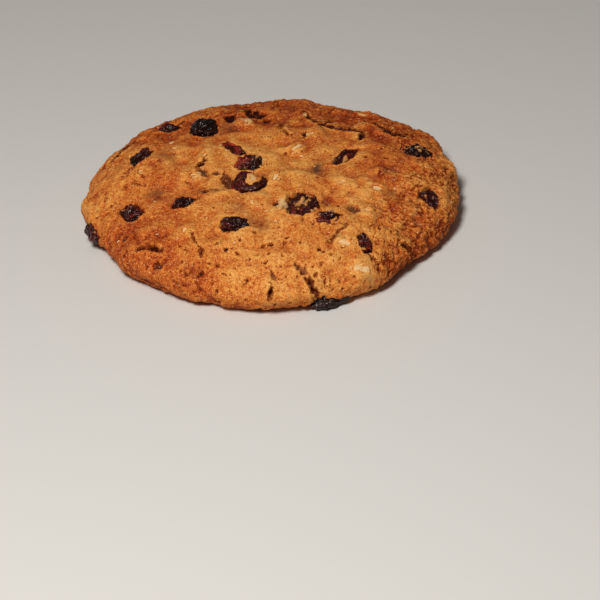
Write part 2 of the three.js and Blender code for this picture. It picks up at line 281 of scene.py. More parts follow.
# %% The raisins: first those of the top, then those of the side
# x, y, length, width, thickness, heading, rise out of the crust, and the angles that it bends through and
# leans over by. Then its look: how red its skin is, how much redder it gets towards its far end, how crinkled
# it is, and how much dough sticks to it.
TOP_RAISINS = [
    (-17.2, 21.9, 7.4, 7.8, 7.0, 20, 3.4, 0, 0, 0.00, 0.0, 0.9, 0.00),
    (-9.3, 7.9, 10.6, 3.6, 3.6, -55, 1.1, -20, 0, 0.80, -0.1, 1.1, 0.03),
    (-6.0, -0.2, 7.6, 5.8, 4.8, 14, 1.5, 0, 0, 0.60, -0.5, 1.7, 0.06),
    (-6.3, -12.7, 15.4, 3.9, 4.4, -18, 1.4, 288, 12, 0.45, 0.0, 1.9, 0.04),
    (7.3, -20.1, 11.0, 8.9, 5.6, 80, 1.2, 0, 0, 0.40, 0.0, 1.7, 0.12),
    (12.9, -26.7, 4.8, 3.8, 3.4, 0, 0.8, 0, 0, 0.38, 0.0, 1.7, 0.06),
    (-10.1, -27.2, 7.6, 4.8, 4.2, -8, 1.0, 0, 0, 0.35, -0.3, 1.7, 0.03),
    (21.6, -34.4, 6.0, 3.6, 3.6, -75, 1.0, 0, 0, 0.50, 0.2, 1.5, 0.06),
    (19.4, 2.3, 9.4, 3.5, 3.8, 50, 1.0, 22, 0, 0.50, 0.0, 1.4, 0.06),
    (38.1, 8.2, 8.2, 6.8, 5.0, 10, 1.3, 0, 0, 0.25, 0.0, 1.1, 0.15),
    (-22.6, -14.6, 7.0, 4.6, 4.4, 5, 0.9, 0, 0, 0.30, 0.0, 1.1, 0.00),
    (-33.5, 9.5, 8.6, 6.4, 5.2, 70, 1.2, 0, 0, 0.35, 0.3, 1.0, 0.12),
    (-36.5, -13.0, 7.6, 5.6, 4.8, -40, 0.9, 0, 0, 0.50, 0.0, 1.0, 0.15),
    (-27.5, 28.0, 8.0, 6.2, 5.0, 150, 1.0, 0, 0, 0.40, 0.3, 1.1, 0.08),
    (39.5, -13.0, 7.4, 5.0, 4.4, 105, 1.0, 0, 0, 0.50, 0.0, 1.0, 0.15),
]
# Bearing, share of the way to the foot, length along the side, width, thickness and rise. Then its look.
SIDE_RAISINS = [
    (-75, 0.908, 10.0, 4.0, 4.4, 1.1, 0.00, 0.0, 1.1, 0.05),
    (98, 0.86, 8.4, 5.4, 5.0, 1.0, 0.45, 0.0, 1.0, 0.10),
    (192, 0.87, 8.8, 5.4, 5.0, 1.1, 0.30, 0.2, 1.0, 0.10),
]


def laid(place, along, sizes, rise, bend, lean, seed, look):
    """A raisin's places, axes, half-sizes, bend in radians, the seed of its wrinkles, and its look."""
    (point,), (normal,) = place
    turned = Matrix.Rotation(math.radians(lean), 3, along) @ Vector(normal)
    axes = axes_at(np.array(turned), along)
    half = np.array(sizes) / 2
    raisin = {"seat": point, "axes": axes, "half": half, "bend": math.radians(bend), "seed": seed}
    return raisin | {"middle": point + axes[2] * (rise - half[2]), "look": look}


raisins = []
for index, (x, y, length, width, thickness, heading, rise, bend, lean, *look) in enumerate(TOP_RAISINS):
    sizes, seed = (length, width, thickness), 7.3 * index + 1.5
    raisins.append(laid(top_at(x, y), flat_heading(heading), sizes, rise, bend, lean, seed, look))
for index, (bearing, share, length, width, thickness, rise, *look) in enumerate(SIDE_RAISINS):
    sizes, seed = (length, width, thickness), 5.1 * index + 90.5
    place = crust_at(math.radians(bearing), share)
    raisins.append(laid(place, flat_heading(bearing + 90), sizes, rise, 0, 0, seed, look))
print(len(raisins), "raisins, the largest", max(2 * raisin["half"][0] for raisin in raisins), "mm long")

# %% Bending a raisin, and asking where a place lies on it
FAR = 99.0  # a distance beyond every reach


def bent(along, across, raisin):
    """Places along and across, rolled round an arc as long as the raisin, whose angle is its bend."""
    if raisin["bend"] == 0:
        return along, across
    arc = 2 * raisin["half"][0] / raisin["bend"]
    turn = along / arc
    return (arc - across) * np.sin(turn), arc - (arc - across) * np.cos(turn)


def straightened(along, across, raisin):
    """Undoes bent: the turn round the arc's middle gives along, and the distance to it gives across."""
    if raisin["bend"] == 0:
        return along, across
    arc = 2 * raisin["half"][0] / raisin["bend"]
    side = math.copysign(1, arc)
    turn = np.arctan2(side * along, side * (arc - across))
    return arc * turn, arc - side * np.hypot(along, arc - across)


def reach_of(raisin, points):
    """How far out points are, seen along the raisin's upright: 0 at its middle line, 1 at its outline."""
    along, across, up = raisin["axes"] @ (points - raisin["middle"]).T
    along, across = straightened(along, across, raisin)
    reach = np.hypot(along / raisin["half"][0], across / raisin["half"][1])
    return np.where(np.abs(up) < 2.5 * raisin["half"][2], reach, FAR)


print("reach of its own middle:", reach_of(raisins[3], raisins[3]["middle"][None]).round(3))

# %% The oat flakes, named ones first and then more by the golden angle, as in the solids
# x, y, heading, and the length and width of the window that the dough leaves over it.
OAT_FLAKES = [
    (6.9, 7.0, 48, 5.4, 0.9), (0.9, -9.1, 72, 4.4, 1.0), (26.0, -13.7, -10, 2.3, 1.9),
    (16.9, -35.4, -15, 3.4, 1.6), (20.5, -41.4, -6, 5.0, 1.4), (-3.9, -18.6, 40, 1.2, 0.5),
    (0.4, -27.0, -30, 1.4, 0.5), (-16.8, 5.1, 60, 1.0, 0.5), (-14.0, 35.5, 10, 3.0, 1.6),
    (25.5, 31.0, 140, 2.6, 1.2), (33.0, -20.0, 50, 1.0, 0.5),
]
SCATTERED_FLAKES = 13
SCATTERED_WINDOW = (1.6, 0.8)
FLAKE_LENGTH = 4.6
FLAKE_WIDTH = 3.4
FLAKE_THICKNESS = 0.9
FLAKE_RISE = 0.35
RAISIN_ROOM = 3.4  # that a scattered flake leaves past a raisin's half-length
FLAKE_ROOM = 7.0  # that it leaves to a named flake
GOLDEN_ANGLE = math.pi * (3 - math.sqrt(5))


def flake(place, heading, seed, window, scale=1.0):
    """A flake's point, axes and size, and its tilts along and across, which are noise of its own number."""
    (point,), (normal,) = place
    along, across, growth = (float(noise(seed, row, 0.5)) for row in (0.5, 2.5, 4.5))
    axes = axes_at(normal, np.array([math.cos(heading), math.sin(heading), 0.0]))
    lies = {"point": point, "axes": axes, "tilts": [0.4 * along, 0.5 * across], "rise": FLAKE_RISE}
    return lies | {"scale": scale * (1 + 0.5 * growth), "seed": seed, "window": window}


flakes = [
    flake(top_at(x, y), math.radians(turn), n + 0.5, window)
    for n, (x, y, turn, *window) in enumerate(OAT_FLAKES)
]
spots = np.array([raisin["seat"] for raisin in raisins] + [oat["point"] for oat in flakes])
rooms = np.array([raisin["half"][0] + RAISIN_ROOM for raisin in raisins] + [FLAKE_ROOM] * len(flakes))
step = 3
while len(flakes) < len(OAT_FLAKES) + SCATTERED_FLAKES:
    place = crust_at(step * GOLDEN_ANGLE, 0.15 + 0.62 * math.sqrt(step / 40))
    if (np.linalg.norm(spots - place[0], axis=1) > rooms).all():
        flakes.append(flake(place, step * 2.4, len(flakes) - len(OAT_FLAKES) + 40.5, SCATTERED_WINDOW))
    step += 1
print(len(flakes), "flakes; the last step of the golden angle was", step - 1)

# %% The main cracks, and finer ones beside them
# Half-width, depth, and the points along it.
CRACKS = [
    (0.8, 2.4, [(13.0, 19.8), (16.0, 19.6), (18.6, 18.6), (21.2, 17.8), (24.3, 16.0)]),
    (0.8, 1.4, [(24.4, 15.2), (24.3, 13.4), (23.6, 11.4)]),
    (0.6, 1.9, [(9.1, 28.6), (10.3, 25.0), (12.4, 21.9), (15.4, 22.2), (16.5, 25.4)]),
    (0.8, 2.4, [(26.2, 21.6), (28.5, 19.8), (30.4, 17.6), (32.6, 15.2), (35.0, 15.0), (36.4, 18.0)]),
    (0.3, 1.6, [(20.0, -27.0), (17.7, -29.4), (15.6, -32.1), (13.0, -35.2)]),
    (0.4, 2.4, [(-1.9, -46.2), (-2.0, -46.9), (-2.0, -47.4), (-1.9, -48.0)]),
    (0.6, 2.4, [(7.2, -44.9), (7.9, -45.7), (8.6, -46.3), (9.3, -47.0), (9.8, -48.0)]),
    (0.35, 2.0, [(22.8, -37.4), (23.9, -38.4), (25.0, -39.4), (25.2, -40.3)]),
    (0.7, 2.2, [(30.8, -31.4), (32.6, -30.9), (34.2, -30.4)]),
    (0.2, 1.2, [(-21.0, -28.2), (-19.8, -31.2), (-18.6, -34.2), (-18.2, -36.2)]),
    (0.6, 1.8, [(-17.8, -11.6), (-15.0, -10.9), (-12.4, -12.4)]),
    (0.8, 2.6, [(-18.9, 0.0), (-18.2, 1.1), (-17.3, 2.3)]),
    (0.8, 2.2, [(-6.6, 34.5), (-5.6, 31.0), (-4.0, 28.6), (-2.0, 27.2)]),
    (0.7, 2.2, [(-36.0, 22.0), (-38.5, 17.5), (-41.5, 14.5)]),
    (0.7, 2.3, [(-28.5, -31.5), (-31.5, -29.5), (-34.5, -28.0)]),
]
FINE_CRACKS = [
    (0.2, 0.8, [(-8.7, -32.3), (-8.3, -34.2), (-7.9, -35.6), (-6.4, -36.1)]),
    (0.2, 0.9, [(1.1, -37.7), (1.3, -38.9), (1.7, -40.9), (2.0, -41.6)]),
    (0.2, 0.8, [(-1.5, -39.8), (-1.6, -41.2), (-1.7, -42.5), (-1.7, -44.1)]),
    (0.2, 0.8, [(-13.5, -41.2), (-13.2, -41.9), (-12.6, -42.6), (-11.6, -42.6), (-11.3, -42.0)]),
    (0.2, 0.7, [(20.4, -37.7), (21.7, -37.4), (23.0, -37.4)]),
    (0.15, 0.6, [(16.5, -36.9), (16.0, -38.5), (15.4, -39.7)]),
    (0.2, 0.9, [(30.1, -28.0), (30.2, -29.8), (30.5, -31.6)]),
    (0.2, 0.8, [(29.5, -33.1), (29.2, -34.4)]),
    (0.2, 0.9, [(11.1, -44.3), (11.2, -45.1), (11.4, -45.6)]),
    (0.2, 0.9, [(32.0, -15.9), (32.5, -17.1), (32.5, -19.1)]),
    (0.25, 1.0, [(22.5, -15.5), (24.3, -17.0), (26.7, -17.8), (29.8, -17.0), (32.0, -15.9)]),
    (0.2, 0.8, [(34.3, -8.8), (35.2, -7.5)]),
    (0.15, 0.6, [(-17.5, 6.9), (-17.2, 4.5), (-16.7, 3.4)]),
    (0.2, 0.7, [(28.0, 4.3), (30.2, 5.7), (32.0, 5.8), (34.0, 4.8), (35.2, 4.3)]),
    (0.2, 0.7, [(25.8, 0.2), (27.2, -1.7), (27.7, -4.6), (28.0, -9.6)]),
    (0.15, 0.6, [(22.7, -15.9), (23.4, -17.5)]),
    (0.15, 0.6, [(24.7, -18.5), (25.8, -20.3)]),
    (0.3, 1.1, [(2.5, 17.6), (3.2, 19.6), (3.7, 21.2)]),
    (0.35, 1.3, [(2.5, 17.4), (4.3, 13.9), (6.4, 12.1), (8.8, 12.2), (9.5, 13.8)]),
    (0.25, 0.9, [(22.6, 8.6), (21.4, 7.0), (20.4, 4.4)]),
    (0.25, 1.0, [(-16.0, 31.0), (-11.6, 33.4), (-7.0, 32.2)]),
    (0.25, 0.9, [(-24.0, -38.2), (-20.8, -40.0), (-19.0, -42.8)]),
    (0.25, 0.9, [(-40.0, 0.0), (-42.6, -3.4), (-43.4, -7.6)]),
    (0.25, 0.9, [(20.0, 38.0), (23.4, 36.0), (27.6, 36.4)]),
    (0.25, 0.9, [(-22.0, 36.0), (-25.6, 34.6), (-28.6, 35.4)]),
    (0.25, 0.9, [(-33.0, -4.0), (-35.6, -1.8), (-38.2, -2.6)]),
]


def beside(points, start, end):
    """The share of the way from start to end of the place nearest each point, and how far off it is."""
    along = end - start
    part = np.clip((points - start) @ along / (along @ along), 0, 1)
    return part, np.linalg.norm(points - start - part[:, None] * along, axis=1)


def away_from(path, points):
    """How far points are from a path laid on the dome, and the share of the way along it that is nearest."""
    path = dome_at(*share_at(*np.array(path, float).T))[0]
    lengths = np.linalg.norm(np.diff(path, axis=0), axis=1)
    passed = np.concatenate([[0], np.cumsum(lengths)])
    distance, share = np.full(len(points), FAR), np.zeros(len(points))
    for start, end, length, before in zip(path[:-1], path[1:], lengths, passed):
        part, away = beside(points, start, end)
        share = np.where(away < distance, (before + part * length) / passed[-1], share)
        distance = np.minimum(distance, away)
    return distance, share


print(len(CRACKS), "cracks and", len(FINE_CRACKS), "fine ones")

# %% Pits where steam came out: those of the top's front and middle, and then more by chance
# x, y and radius.
PITS = [
    (-17.0, -22.3, 0.41), (-16.1, -25.2, 0.21), (-18.5, -34.2, 0.56), (-20.6, -28.2, 0.31),
    (-18.8, -39.7, 0.62), (-16.5, -38.4, 0.41), (-14.7, -39.4, 0.41), (-14.7, -33.0, 0.36),
    (-12.3, -35.5, 0.41), (-10.8, -35.7, 0.33), (-9.6, -37.2, 0.51), (-6.7, -39.3, 0.38), (-8.8, -32.9, 0.33),
    (-3.2, -35.4, 0.6), (-1.2, -35.0, 0.8), (-5.2, -30.6, 0.41), (6.0, -43.3, 0.51), (-2.7, -40.8, 0.41),
    (-4.9, -40.3, 0.33), (-2.2, -42.1, 0.26), (-7.6, -44.6, 0.41), (-6.5, -44.3, 0.23), (-13.3, -41.8, 0.31),
    (-11.6, -42.7, 0.31), (-9.1, -43.2, 0.23), (2.0, -44.2, 0.31), (4.6, -44.4, 0.31), (6.7, -44.6, 0.33),
    (-16.3, -42.8, 0.26), (-15.1, -44.6, 0.26), (-19.6, -40.3, 0.31), (2.3, -34.4, 0.26), (2.8, -32.6, 0.23),
    (1.0, -29.4, 0.21), (-2.7, -20.5, 0.23), (-10.5, -22.7, 0.26), (0.2, -20.2, 0.59), (2.3, -22.5, 0.36),
    (16.0, -21.6, 0.46), (25.1, -19.4, 0.33), (10.3, -37.5, 0.54), (11.5, -38.4, 0.23), (13.4, -39.1, 0.23),
    (15.4, -39.7, 0.33), (7.9, -39.7, 0.44), (23.2, -38.4, 0.49), (24.8, -38.7, 0.38), (29.6, -25.6, 0.31),
    (28.8, -25.2, 0.26), (25.7, -28.9, 0.36), (28.7, -28.6, 0.36), (26.8, -32.6, 0.31), (9.1, -44.0, 0.36),
    (12.8, -44.4, 0.28), (15.3, -44.2, 0.28), (15.8, -45.0, 0.36), (13.4, -45.6, 0.26), (8.5, -41.9, 0.36),
    (9.6, -43.5, 0.26), (20.6, -39.9, 0.21), (10.7, -41.5, 0.23), (18.5, -43.0, 0.21), (32.9, -31.1, 0.62),
    (34.1, -30.9, 0.51), (-5.5, 14.5, 0.31), (0.0, 13.2, 0.36), (-19.0, 10.4, 0.26), (-20.1, 6.9, 0.26),
    (-20.4, 2.8, 0.23), (-17.0, 4.7, 0.26), (3.8, 8.5, 0.33), (3.7, 4.8, 0.26), (7.4, 1.8, 0.26),
    (4.6, -12.0, 0.23), (0.6, -14.4, 0.26), (6.6, -15.0, 0.33), (-12.2, -3.6, 0.26), (-5.1, 4.5, 0.31),
    (-14.3, -3.3, 0.46), (-17.1, -11.1, 0.49), (-14.3, -12.5, 0.44), (-21.8, -6.2, 0.36), (9.4, 13.8, 0.54),
    (11.2, 6.5, 0.33), (14.0, 11.1, 0.28), (15.3, 9.5, 0.21), (8.3, 4.8, 0.26), (29.4, 0.7, 0.36),
    (23.9, -5.9, 0.38), (27.6, 4.9, 0.26), (14.0, -5.9, 0.36), (15.8, -11.3, 0.36), (13.7, -12.5, 0.36),
    (14.9, -14.9, 0.31), (19.3, -15.9, 0.26), (35.8, -3.7, 0.41), (37.3, -7.5, 0.51), (28.9, -15.6, 0.31),
    (24.9, -14.7, 0.23), (16.3, 32.5, 0.38), (19.9, 32.7, 0.33), (26.1, 27.0, 0.38), (32.9, 14.9, 0.67),
    (34.7, 14.9, 0.67), (36.4, 20.0, 0.41), (24.1, 14.8, 0.46), (-9.8, 34.2, 0.51), (-5.1, 33.5, 0.62),
    (-3.0, 27.2, 0.56), (-1.0, 26.5, 0.51), (3.9, 22.2, 0.44), (5.1, 16.4, 0.41), (8.4, 29.1, 0.33),
    (-10.5, 30.4, 1.8), (-9.8, 27.8, 1.8), (-9.2, 25.8, 1.3), (9.4, 13.7, 1.1), (-17.2, -12.1, 0.75),
    (-14.2, -11.5, 0.6), (0.5, -19.7, 0.9), (-3.4, 30.9, 1.2), (-1.8, 28.2, 1.4), (-0.4, 25.2, 1.1),
    (6.0, -43.6, 0.3), (36.4, -30.6, 0.6),
]
CHANCE_PITS = 430
CHANCE_PIT_REACH = 0.93  # share of the way to the foot that they reach
CHANCE_PIT_RADII = (0.12, 0.34)  # the least, and what chance adds to it
CHANCE_PIT_ROOM = 2.6  # from each listed pit, so that those keep their own pattern

# Where a scab of crust came away and bare brown crumb shows: discs that run together, as x, y, radius.
BARE_SPOTS = [
    (-14.6, -2.8, 0.9), (-13.7, -3.7, 0.8), (-12.3, -4.8, 1.0), (-11.7, -6.2, 1.3), (-11.3, -7.8, 1.3),
    (-11.1, -9.4, 1.0), (-10.7, -10.8, 0.9), (-17.9, -2.0, 1.3), (-17.3, -3.0, 1.1), (19.6, -22.0, 0.9),
    (20.4, -22.6, 1.0), (21.3, -22.9, 0.8), (4.4, -41.4, 0.5), (5.3, -41.9, 0.8), (6.2, -42.6, 0.9),
    (6.8, -43.6, 0.6), (-1.1, -43.8, 0.7), (-0.8, -44.4, 0.4), (3.0, 18.6, 0.7), (4.0, 20.2, 0.8),
    (9.4, -28.6, 0.5), (25.9, -17.9, 0.5), (33.0, -31.0, 0.7), (-24.0, 30.0, 0.9), (-23.0, 31.2, 0.7),
    (-38.0, -22.0, 0.8), (40.0, 6.0, 0.7), (12.0, 40.0, 0.9), (-6.0, 41.5, 0.8), (-30.0, -34.0, 0.9),
    (-29.0, -34.8, 0.6),
]
BARE_DEPTH = 0.8


def all_pits():
    """Places and radii: the listed pits, and points of the golden angle that keep clear of them."""
    x, y, radius = np.array(PITS).T
    listed = dome_at(*share_at(x, y))[0]
    n = np.arange(CHANCE_PITS)
    chance = lattice_value(n[:, None], np.arange(3)[None], 31)
    bearing = n * GOLDEN_ANGLE + 1.2 * chance[:, 0]
    others = dome_at(bearing, CHANCE_PIT_REACH * np.sqrt((n + chance[:, 1]) / CHANCE_PITS))[0]
    near = np.linalg.norm(others[:, None] - listed[None], axis=2).min(1) < CHANCE_PIT_ROOM
    least, growth = CHANCE_PIT_RADII
    radii = least + growth * chance[:, 2] ** 2.5
    return np.concatenate([listed, others[~near]]), np.concatenate([radius, radii[~near]])


pit_places, pit_radii = all_pits()
print(len(pit_radii), "pits")

# %% [markdown]
# ## Fine relief, browning and painted shade
# Steam lifts the crust into grains, opens small pits where it gets out, and tears it where the dome spreads.
# The rim dries most, so grains and pits are coarse there and the middle stays smoother. Sugar browns
# unevenly, in patches and along the edges, and goes grey-brown where a raisin lies just under the skin; some
# of the browner patches are painted shade. Relief and colour come from the same numbers, because the colour
# paints shade into a pit or crack where it is deep.

# %% Patches of the crust that are browner or paler, partly painted shade
# x, y, radius and how much browner, or paler if below nothing. The broad patches at the left, right and back
# and the small ones along folds are painted shade as well as browning.
BROWNING_AND_SHADE = [
    (31.0, -3.0, 9.0, 0.32), (28.0, 9.0, 9.0, 0.15), (-12.0, -40.0, 8.0, -0.1), (-19.5, -12.5, 3.0, 0.15),
    (22.0, 24.0, 12.0, 0.22), (36.0, 16.0, 9.0, 0.25), (-9.0, 31.0, 6.0, 0.3), (-21.0, -43.0, 7.0, 0.4),
    (-24.0, -10.0, 9.0, 0.22), (-11.8, -7.4, 2.2, 0.4), (27.0, -1.5, 1.8, 0.3), (27.6, -4.5, 1.8, 0.3),
    (28.6, -8.8, 2.2, 0.6), (30.6, -9.6, 1.6, 0.35), (8.6, -39.9, 1.6, 0.25), (10.8, -23.9, 1.6, 0.4),
    (13.8, -17.2, 1.7, 0.5), (31.4, -21.4, 2.4, 0.45), (31.7, -15.2, 1.6, -0.3), (22.4, -40.1, 1.8, -0.2),
    (-15.2, 13.7, 2.6, -0.25), (-18.6, -13.0, 2.5, 0.3), (39.0, 2.0, 9.0, 0.12), (0.0, 38.0, 15.0, 0.66),
    (30.0, 28.0, 14.0, 0.48), (-30.0, 28.0, 14.0, 0.55), (-38.0, -28.0, 12.0, 0.5), (-26.0, -41.0, 9.0, 0.35),
    (31.0, -35.0, 6.0, 0.25), (-16.0, 20.0, 6.0, 0.2), (-3.0, 27.0, 5.0, 0.25), (44.0, -16.0, 12.0, 0.22),
    (38.0, -30.0, 9.0, 0.25), (-36.0, -20.0, 11.0, 0.2), (-22.0, -30.0, 7.0, 0.12), (0.0, 8.0, 9.0, -0.04),
    (10.0, 13.0, 8.0, 0.08), (6.0, -34.0, 13.0, -0.05), (20.0, -38.0, 7.0, -0.1), (-14.0, -20.0, 5.0, -0.1),
    (4.0, -8.0, 6.0, -0.1),
]
# Grey-brown skin over a raisin that lies under it, and painted shade beside a raisin: x, y, radius, strength.
STAINS_AND_SHADE = [
    (11.6, -2.0, 1.8, 1.0), (10.8, -3.8, 2.2, 0.5), (19.8, -22.2, 1.5, 0.5), (-5.1, -25.8, 2.7, 0.45),
    (-3.2, -29.0, 2.2, 0.3), (-17.6, -2.0, 1.6, 0.3), (-11.0, -8.6, 1.8, 0.45), (-17.1, -11.6, 1.2, 0.8),
    (-14.3, -12.5, 1.1, 0.6), (28.9, -15.6, 1.4, 0.5), (12.9, -19.2, 1.6, 0.5), (-9.4, -20.4, 3.0, 0.35),
    (30.0, -4.0, 2.6, 0.25), (-10.6, 21.2, 2.0, 0.6), (2.6, 21.4, 2.2, 0.5), (-27.0, 7.0, 2.4, 0.5),
    (-12.0, 40.0, 2.6, 0.5), (-30.5, -8.0, 2.0, 0.6), (6.0, 33.0, 2.0, 0.4),
]
# Whitish dough, glazed lumps and painted highlights on lumps: x, y, radius, strength.
PALE_SPOTS_AND_HIGHLIGHTS = [
    (-7.0, 23.8, 1.6, 0.9), (-17.6, -2.3, 1.3, 0.35), (-5.0, -8.4, 1.3, 1.0), (2.1, -20.5, 1.9, 0.95),
    (6.3, -27.4, 1.2, 0.4), (15.6, -33.6, 2.2, 0.35), (-15.5, -17.1, 2.0, 0.3), (-7.6, -22.8, 2.4, 0.4),
    (-2.8, -20.1, 1.8, 0.3), (24.0, -23.4, 1.7, 0.3), (22.8, -42.4, 2.4, 0.4), (35.4, -22.4, 1.4, 0.5),
    (26.4, -18.2, 1.0, 0.4), (37.4, 11.3, 0.8, 0.7), (-2.1, 0.9, 0.9, 0.5), (-8.2, 37.5, 1.8, 0.3),
]


def patches(points, spots):
    """The sum of each spot's strength times a bell of the distance in plan, its edge frayed by noise."""
    x, y = (points[:, :2] + 2.2 * drift(points, 2.1, (80, 90))).T
    total = np.zeros(len(points))
    for at_x, at_y, radius, strength in spots:
        total += strength * bell(np.hypot(x - at_x, y - at_y), radius)
    return total


print("toast over the origin:", patches(np.zeros((1, 3)), BROWNING_AND_SHADE).round(3))

# %% Lumps, pores and tears
LUMP, SMALL_LUMP, PEBBLE = 2.0, 0.95, 1.2  # sizes
WANDER = 1.4  # how far noise pushes them out of line
# Height, size and salt of the noises that are added up: for the finest lumps, for the air that opens pores,
# and for the fraying of the edges of pits and of bare places.
FINE_LUMPS = [(0.16, 1.9, 62), (0.2, 0.85, 63)]
AIR = [(1.0, 1.5, 50), (0.7, 0.75, 51)]
PIT_FRAY = [(0.6, 1.0, 35), (0.3, 0.5, 36)]
BARE_FRAY = [(0.7, 1.2, 38), (0.4, 0.6, 39)]
LUMP_HEIGHT, PEBBLE_HEIGHT, PEBBLE_BULGE = 0.3, 0.1, 0.22
PORE_LEVEL, RIM_EASE = 0.7, 0.08  # how high the air's noise opens a pore, and how much lower at the rim
TEAR_SIZE, TEAR_HALF = 5.2, 0.02  # size of its noise, and its half-width, both in millimetres
TEAR_PATCH = 3.4  # size of the stretches where a tear may run
TEAR_CLOSED = 3  # millimetres that are added elsewhere
SEAM_HALF = 0.026  # as a value of its noise
SEAM_CLOSED = 1.2  # millimetres that are added where there are no pebbles
# What turns each noise's distance from its threshold into millimetres.
PORE_SLOPE, TEAR_SLOPE, SEAM_SLOPE = 1.7, 9, 2.4
FADE = 1.6  # millimetres over which the painted shade of an opening goes from all to none


def coarseness(points):
    """0.4 in the middle, rising to 1 at the rim, at the back and at the front."""
    x, y = points[:, :2].T
    rim = between(0.52, 0.84, np.hypot(x, y) / RADIUS)
    return 0.4 + 0.6 * np.max([rim, between(-19, -31, y), 0.9 * between(16, 30, y)], axis=0)


def pebbly(points):
    """How much the crust breaks up into pebbles: mostly outside, at the right, the back and the left."""
    x, y = points[:, :2].T
    sides = [between(12, 28, x), 0.6 * between(18, 30, y), 0.6 * between(-14, -28, x)]
    return between(0.55, 0.8, np.hypot(x, y) / RADIUS) * np.max(sides, axis=0)


def puffed(points, size, salt):
    """Round lumps with narrow creases: noise without its sign, to a power below 1, less its usual value."""
    return (2 * np.abs(noise_at(points, size, salt))) ** 0.7 - 0.47


def crumb(points):
    """Lift of the lumps, and how far in millimetres each place lies beyond the edge of a pore or a tear.

    A pore opens where two noises together are high, a tear runs where a third noise is close to nothing, and
    a seam runs between pebbles in the same way.
    """
    places = points + WANDER * drift(points, 3.6, (11, 23, 37))
    coarse, pebbles = coarseness(points), pebbly(points)
    big, small = puffed(places, LUMP, 5), puffed(places, SMALL_LUMP, 9)
    pore = (PORE_LEVEL - RIM_EASE * coarse - summed(places, AIR)) * PORE_SLOPE
    tear = np.abs(noise_at(places, TEAR_SIZE, 60)) * TEAR_SLOPE - TEAR_HALF
    tear = tear + TEAR_CLOSED * between(0.16, 0.05, noise_at(places, TEAR_PATCH, 61))
    tear = tear + TEAR_CLOSED * between(0.7, 0.4, coarse)
    seam = (np.abs(noise_at(places, PEBBLE, 13)) - SEAM_HALF) * SEAM_SLOPE
    seam = seam + SEAM_CLOSED * (1 - pebbles) + 0.5 * noise_at(places, 3.0, 64)
    rise = coarse * LUMP_HEIGHT * (big + small) + summed(places, FINE_LUMPS)
    rise = rise + pebbles * (PEBBLE_HEIGHT * puffed(places, PEBBLE, 13) + PEBBLE_BULGE * big)
    return rise, np.min([pore, tear, seam], axis=0)


def pit_edge(points):
    """How far each place lies beyond the edge of the nearest pit, whose outline is frayed by noise."""
    beyond = np.full(len(points), FAR)
    for place, radius in zip(pit_places, pit_radii):
        beyond = np.minimum(beyond, np.linalg.norm(points - place, axis=1) - radius)
    return beyond + summed(points, PIT_FRAY)


def bare_edge(points):
    """How far each place lies beyond the nearest bare disc, seen in plan, its outline jagged by noise."""
    x, y = points[:, :2].T
    beyond = np.full(len(points), FAR)
    for at_x, at_y, radius in BARE_SPOTS:
        beyond = np.minimum(beyond, np.hypot(x - at_x, y - at_y) - radius)
    return beyond + summed(points, BARE_FRAY)


print("crumb at the rim:", [value.round(2) for value in crumb(top_at(0, -40)[0])])

# %% Room for cracks, raisins and flakes
CRACK_FRAY = [(0.8, 1.3, 30), (0.6, 0.6, 31)]
CRACK_BEND = 1.3
CRACK_TIP = 0.2  # least share of its width and depth, towards its ends
CRACK_BRIDGE = 0.9  # how strongly dough bridges a fine crack, here and there
LIP_PLACE, LIP_SPREAD = 0.8, 0.6  # millimetres beyond the crack's edge
LIP, BACK_LIP = 0.22, 0.2  # height of a crack's lips, and what is added at the back, on a crack of LIP_DEPTH
LIP_DEPTH = 2.4
SOCKET_FRAY = [(1.28, 2.4, 33), (1.6, 1.0, 34)]
SOCKET_DEPTH = 1.7
SOCKET_SWELL = 0.25
SOCKET_FURROW = 0.15
# Reaches from the raisin where the wall starts and ends, and reach and spread of what lies round it.
SOCKET_WALL = (1.04, 0.86)
SWELL_AT, SWELL_SPREAD = 1.12, 0.1
FURROW_AT, FURROW_SPREAD = 1.35, 0.2
BROWN_AT, BROWN_SPREAD = 1.1, 0.12
WINDOW_FRAY = [(0.5, 1.6, 44), (0.35, 0.7, 45)]
FLAKE_FILM = 0.62


def crack_relief(points):
    """Each crack's wedge, with its two lips, and how far each place lies beyond the painted shade of the
    nearest crack, which spreads a little past its edge.
    """
    rise, beyond = np.zeros(len(points)), np.full(len(points), FAR)
    bends = drift(points, 2.3, (15, 16, 17)) + 0.5 * drift(points, 0.9, (20, 21, 22))
    fray = summed(points, CRACK_FRAY)
    bridged = CRACK_BRIDGE * between(0.08, 0.22, noise_at(points, 2.6, 32))
    back = between(8, 20, points[:, 1])  # seen flat, a gap there needs higher lips and wider painted shade to show
    for index, (width, depth, path) in enumerate(CRACKS + FINE_CRACKS):
        main = index < len(CRACKS)
        distance, share = away_from(path, points + CRACK_BEND * bends)
        taper = CRACK_TIP + (1 - CRACK_TIP) * np.sqrt(np.sin(np.pi * np.clip(share, 0.02, 0.98)))
        broken = fray if main else fray + bridged
        edge = distance + broken * (0.25 + 0.6 * width) - 0.8 * width * taper
        lips = (LIP + BACK_LIP * back) * bell(edge - LIP_PLACE, LIP_SPREAD) / LIP_DEPTH
        rise += depth * taper * (lips - between(0.32, -0.6 * width, edge))
        beyond = np.minimum(beyond, edge - 0.35 * width - 0.15 * main - 0.25 * back)
    return rise, beyond


def socket_relief(points):
    """Under each raisin the crust dips, and round it the dough swells and creeps over its edge."""
    rise, under, edge = np.zeros((3, len(points)))
    fray = summed(points, SOCKET_FRAY)
    for raisin in raisins:
        reach = reach_of(raisin, points) + fray / raisin["half"][:2].mean()
        inside = between(*SOCKET_WALL, reach)
        swell, furrow = bell(reach - SWELL_AT, SWELL_SPREAD), bell(reach - FURROW_AT, FURROW_SPREAD)
        rise += SOCKET_SWELL * swell - SOCKET_FURROW * furrow
        rise -= SOCKET_DEPTH * inside
        under = np.maximum(under, inside)
        edge = np.maximum(edge, bell(reach - BROWN_AT, BROWN_SPREAD))
    return rise, under, edge


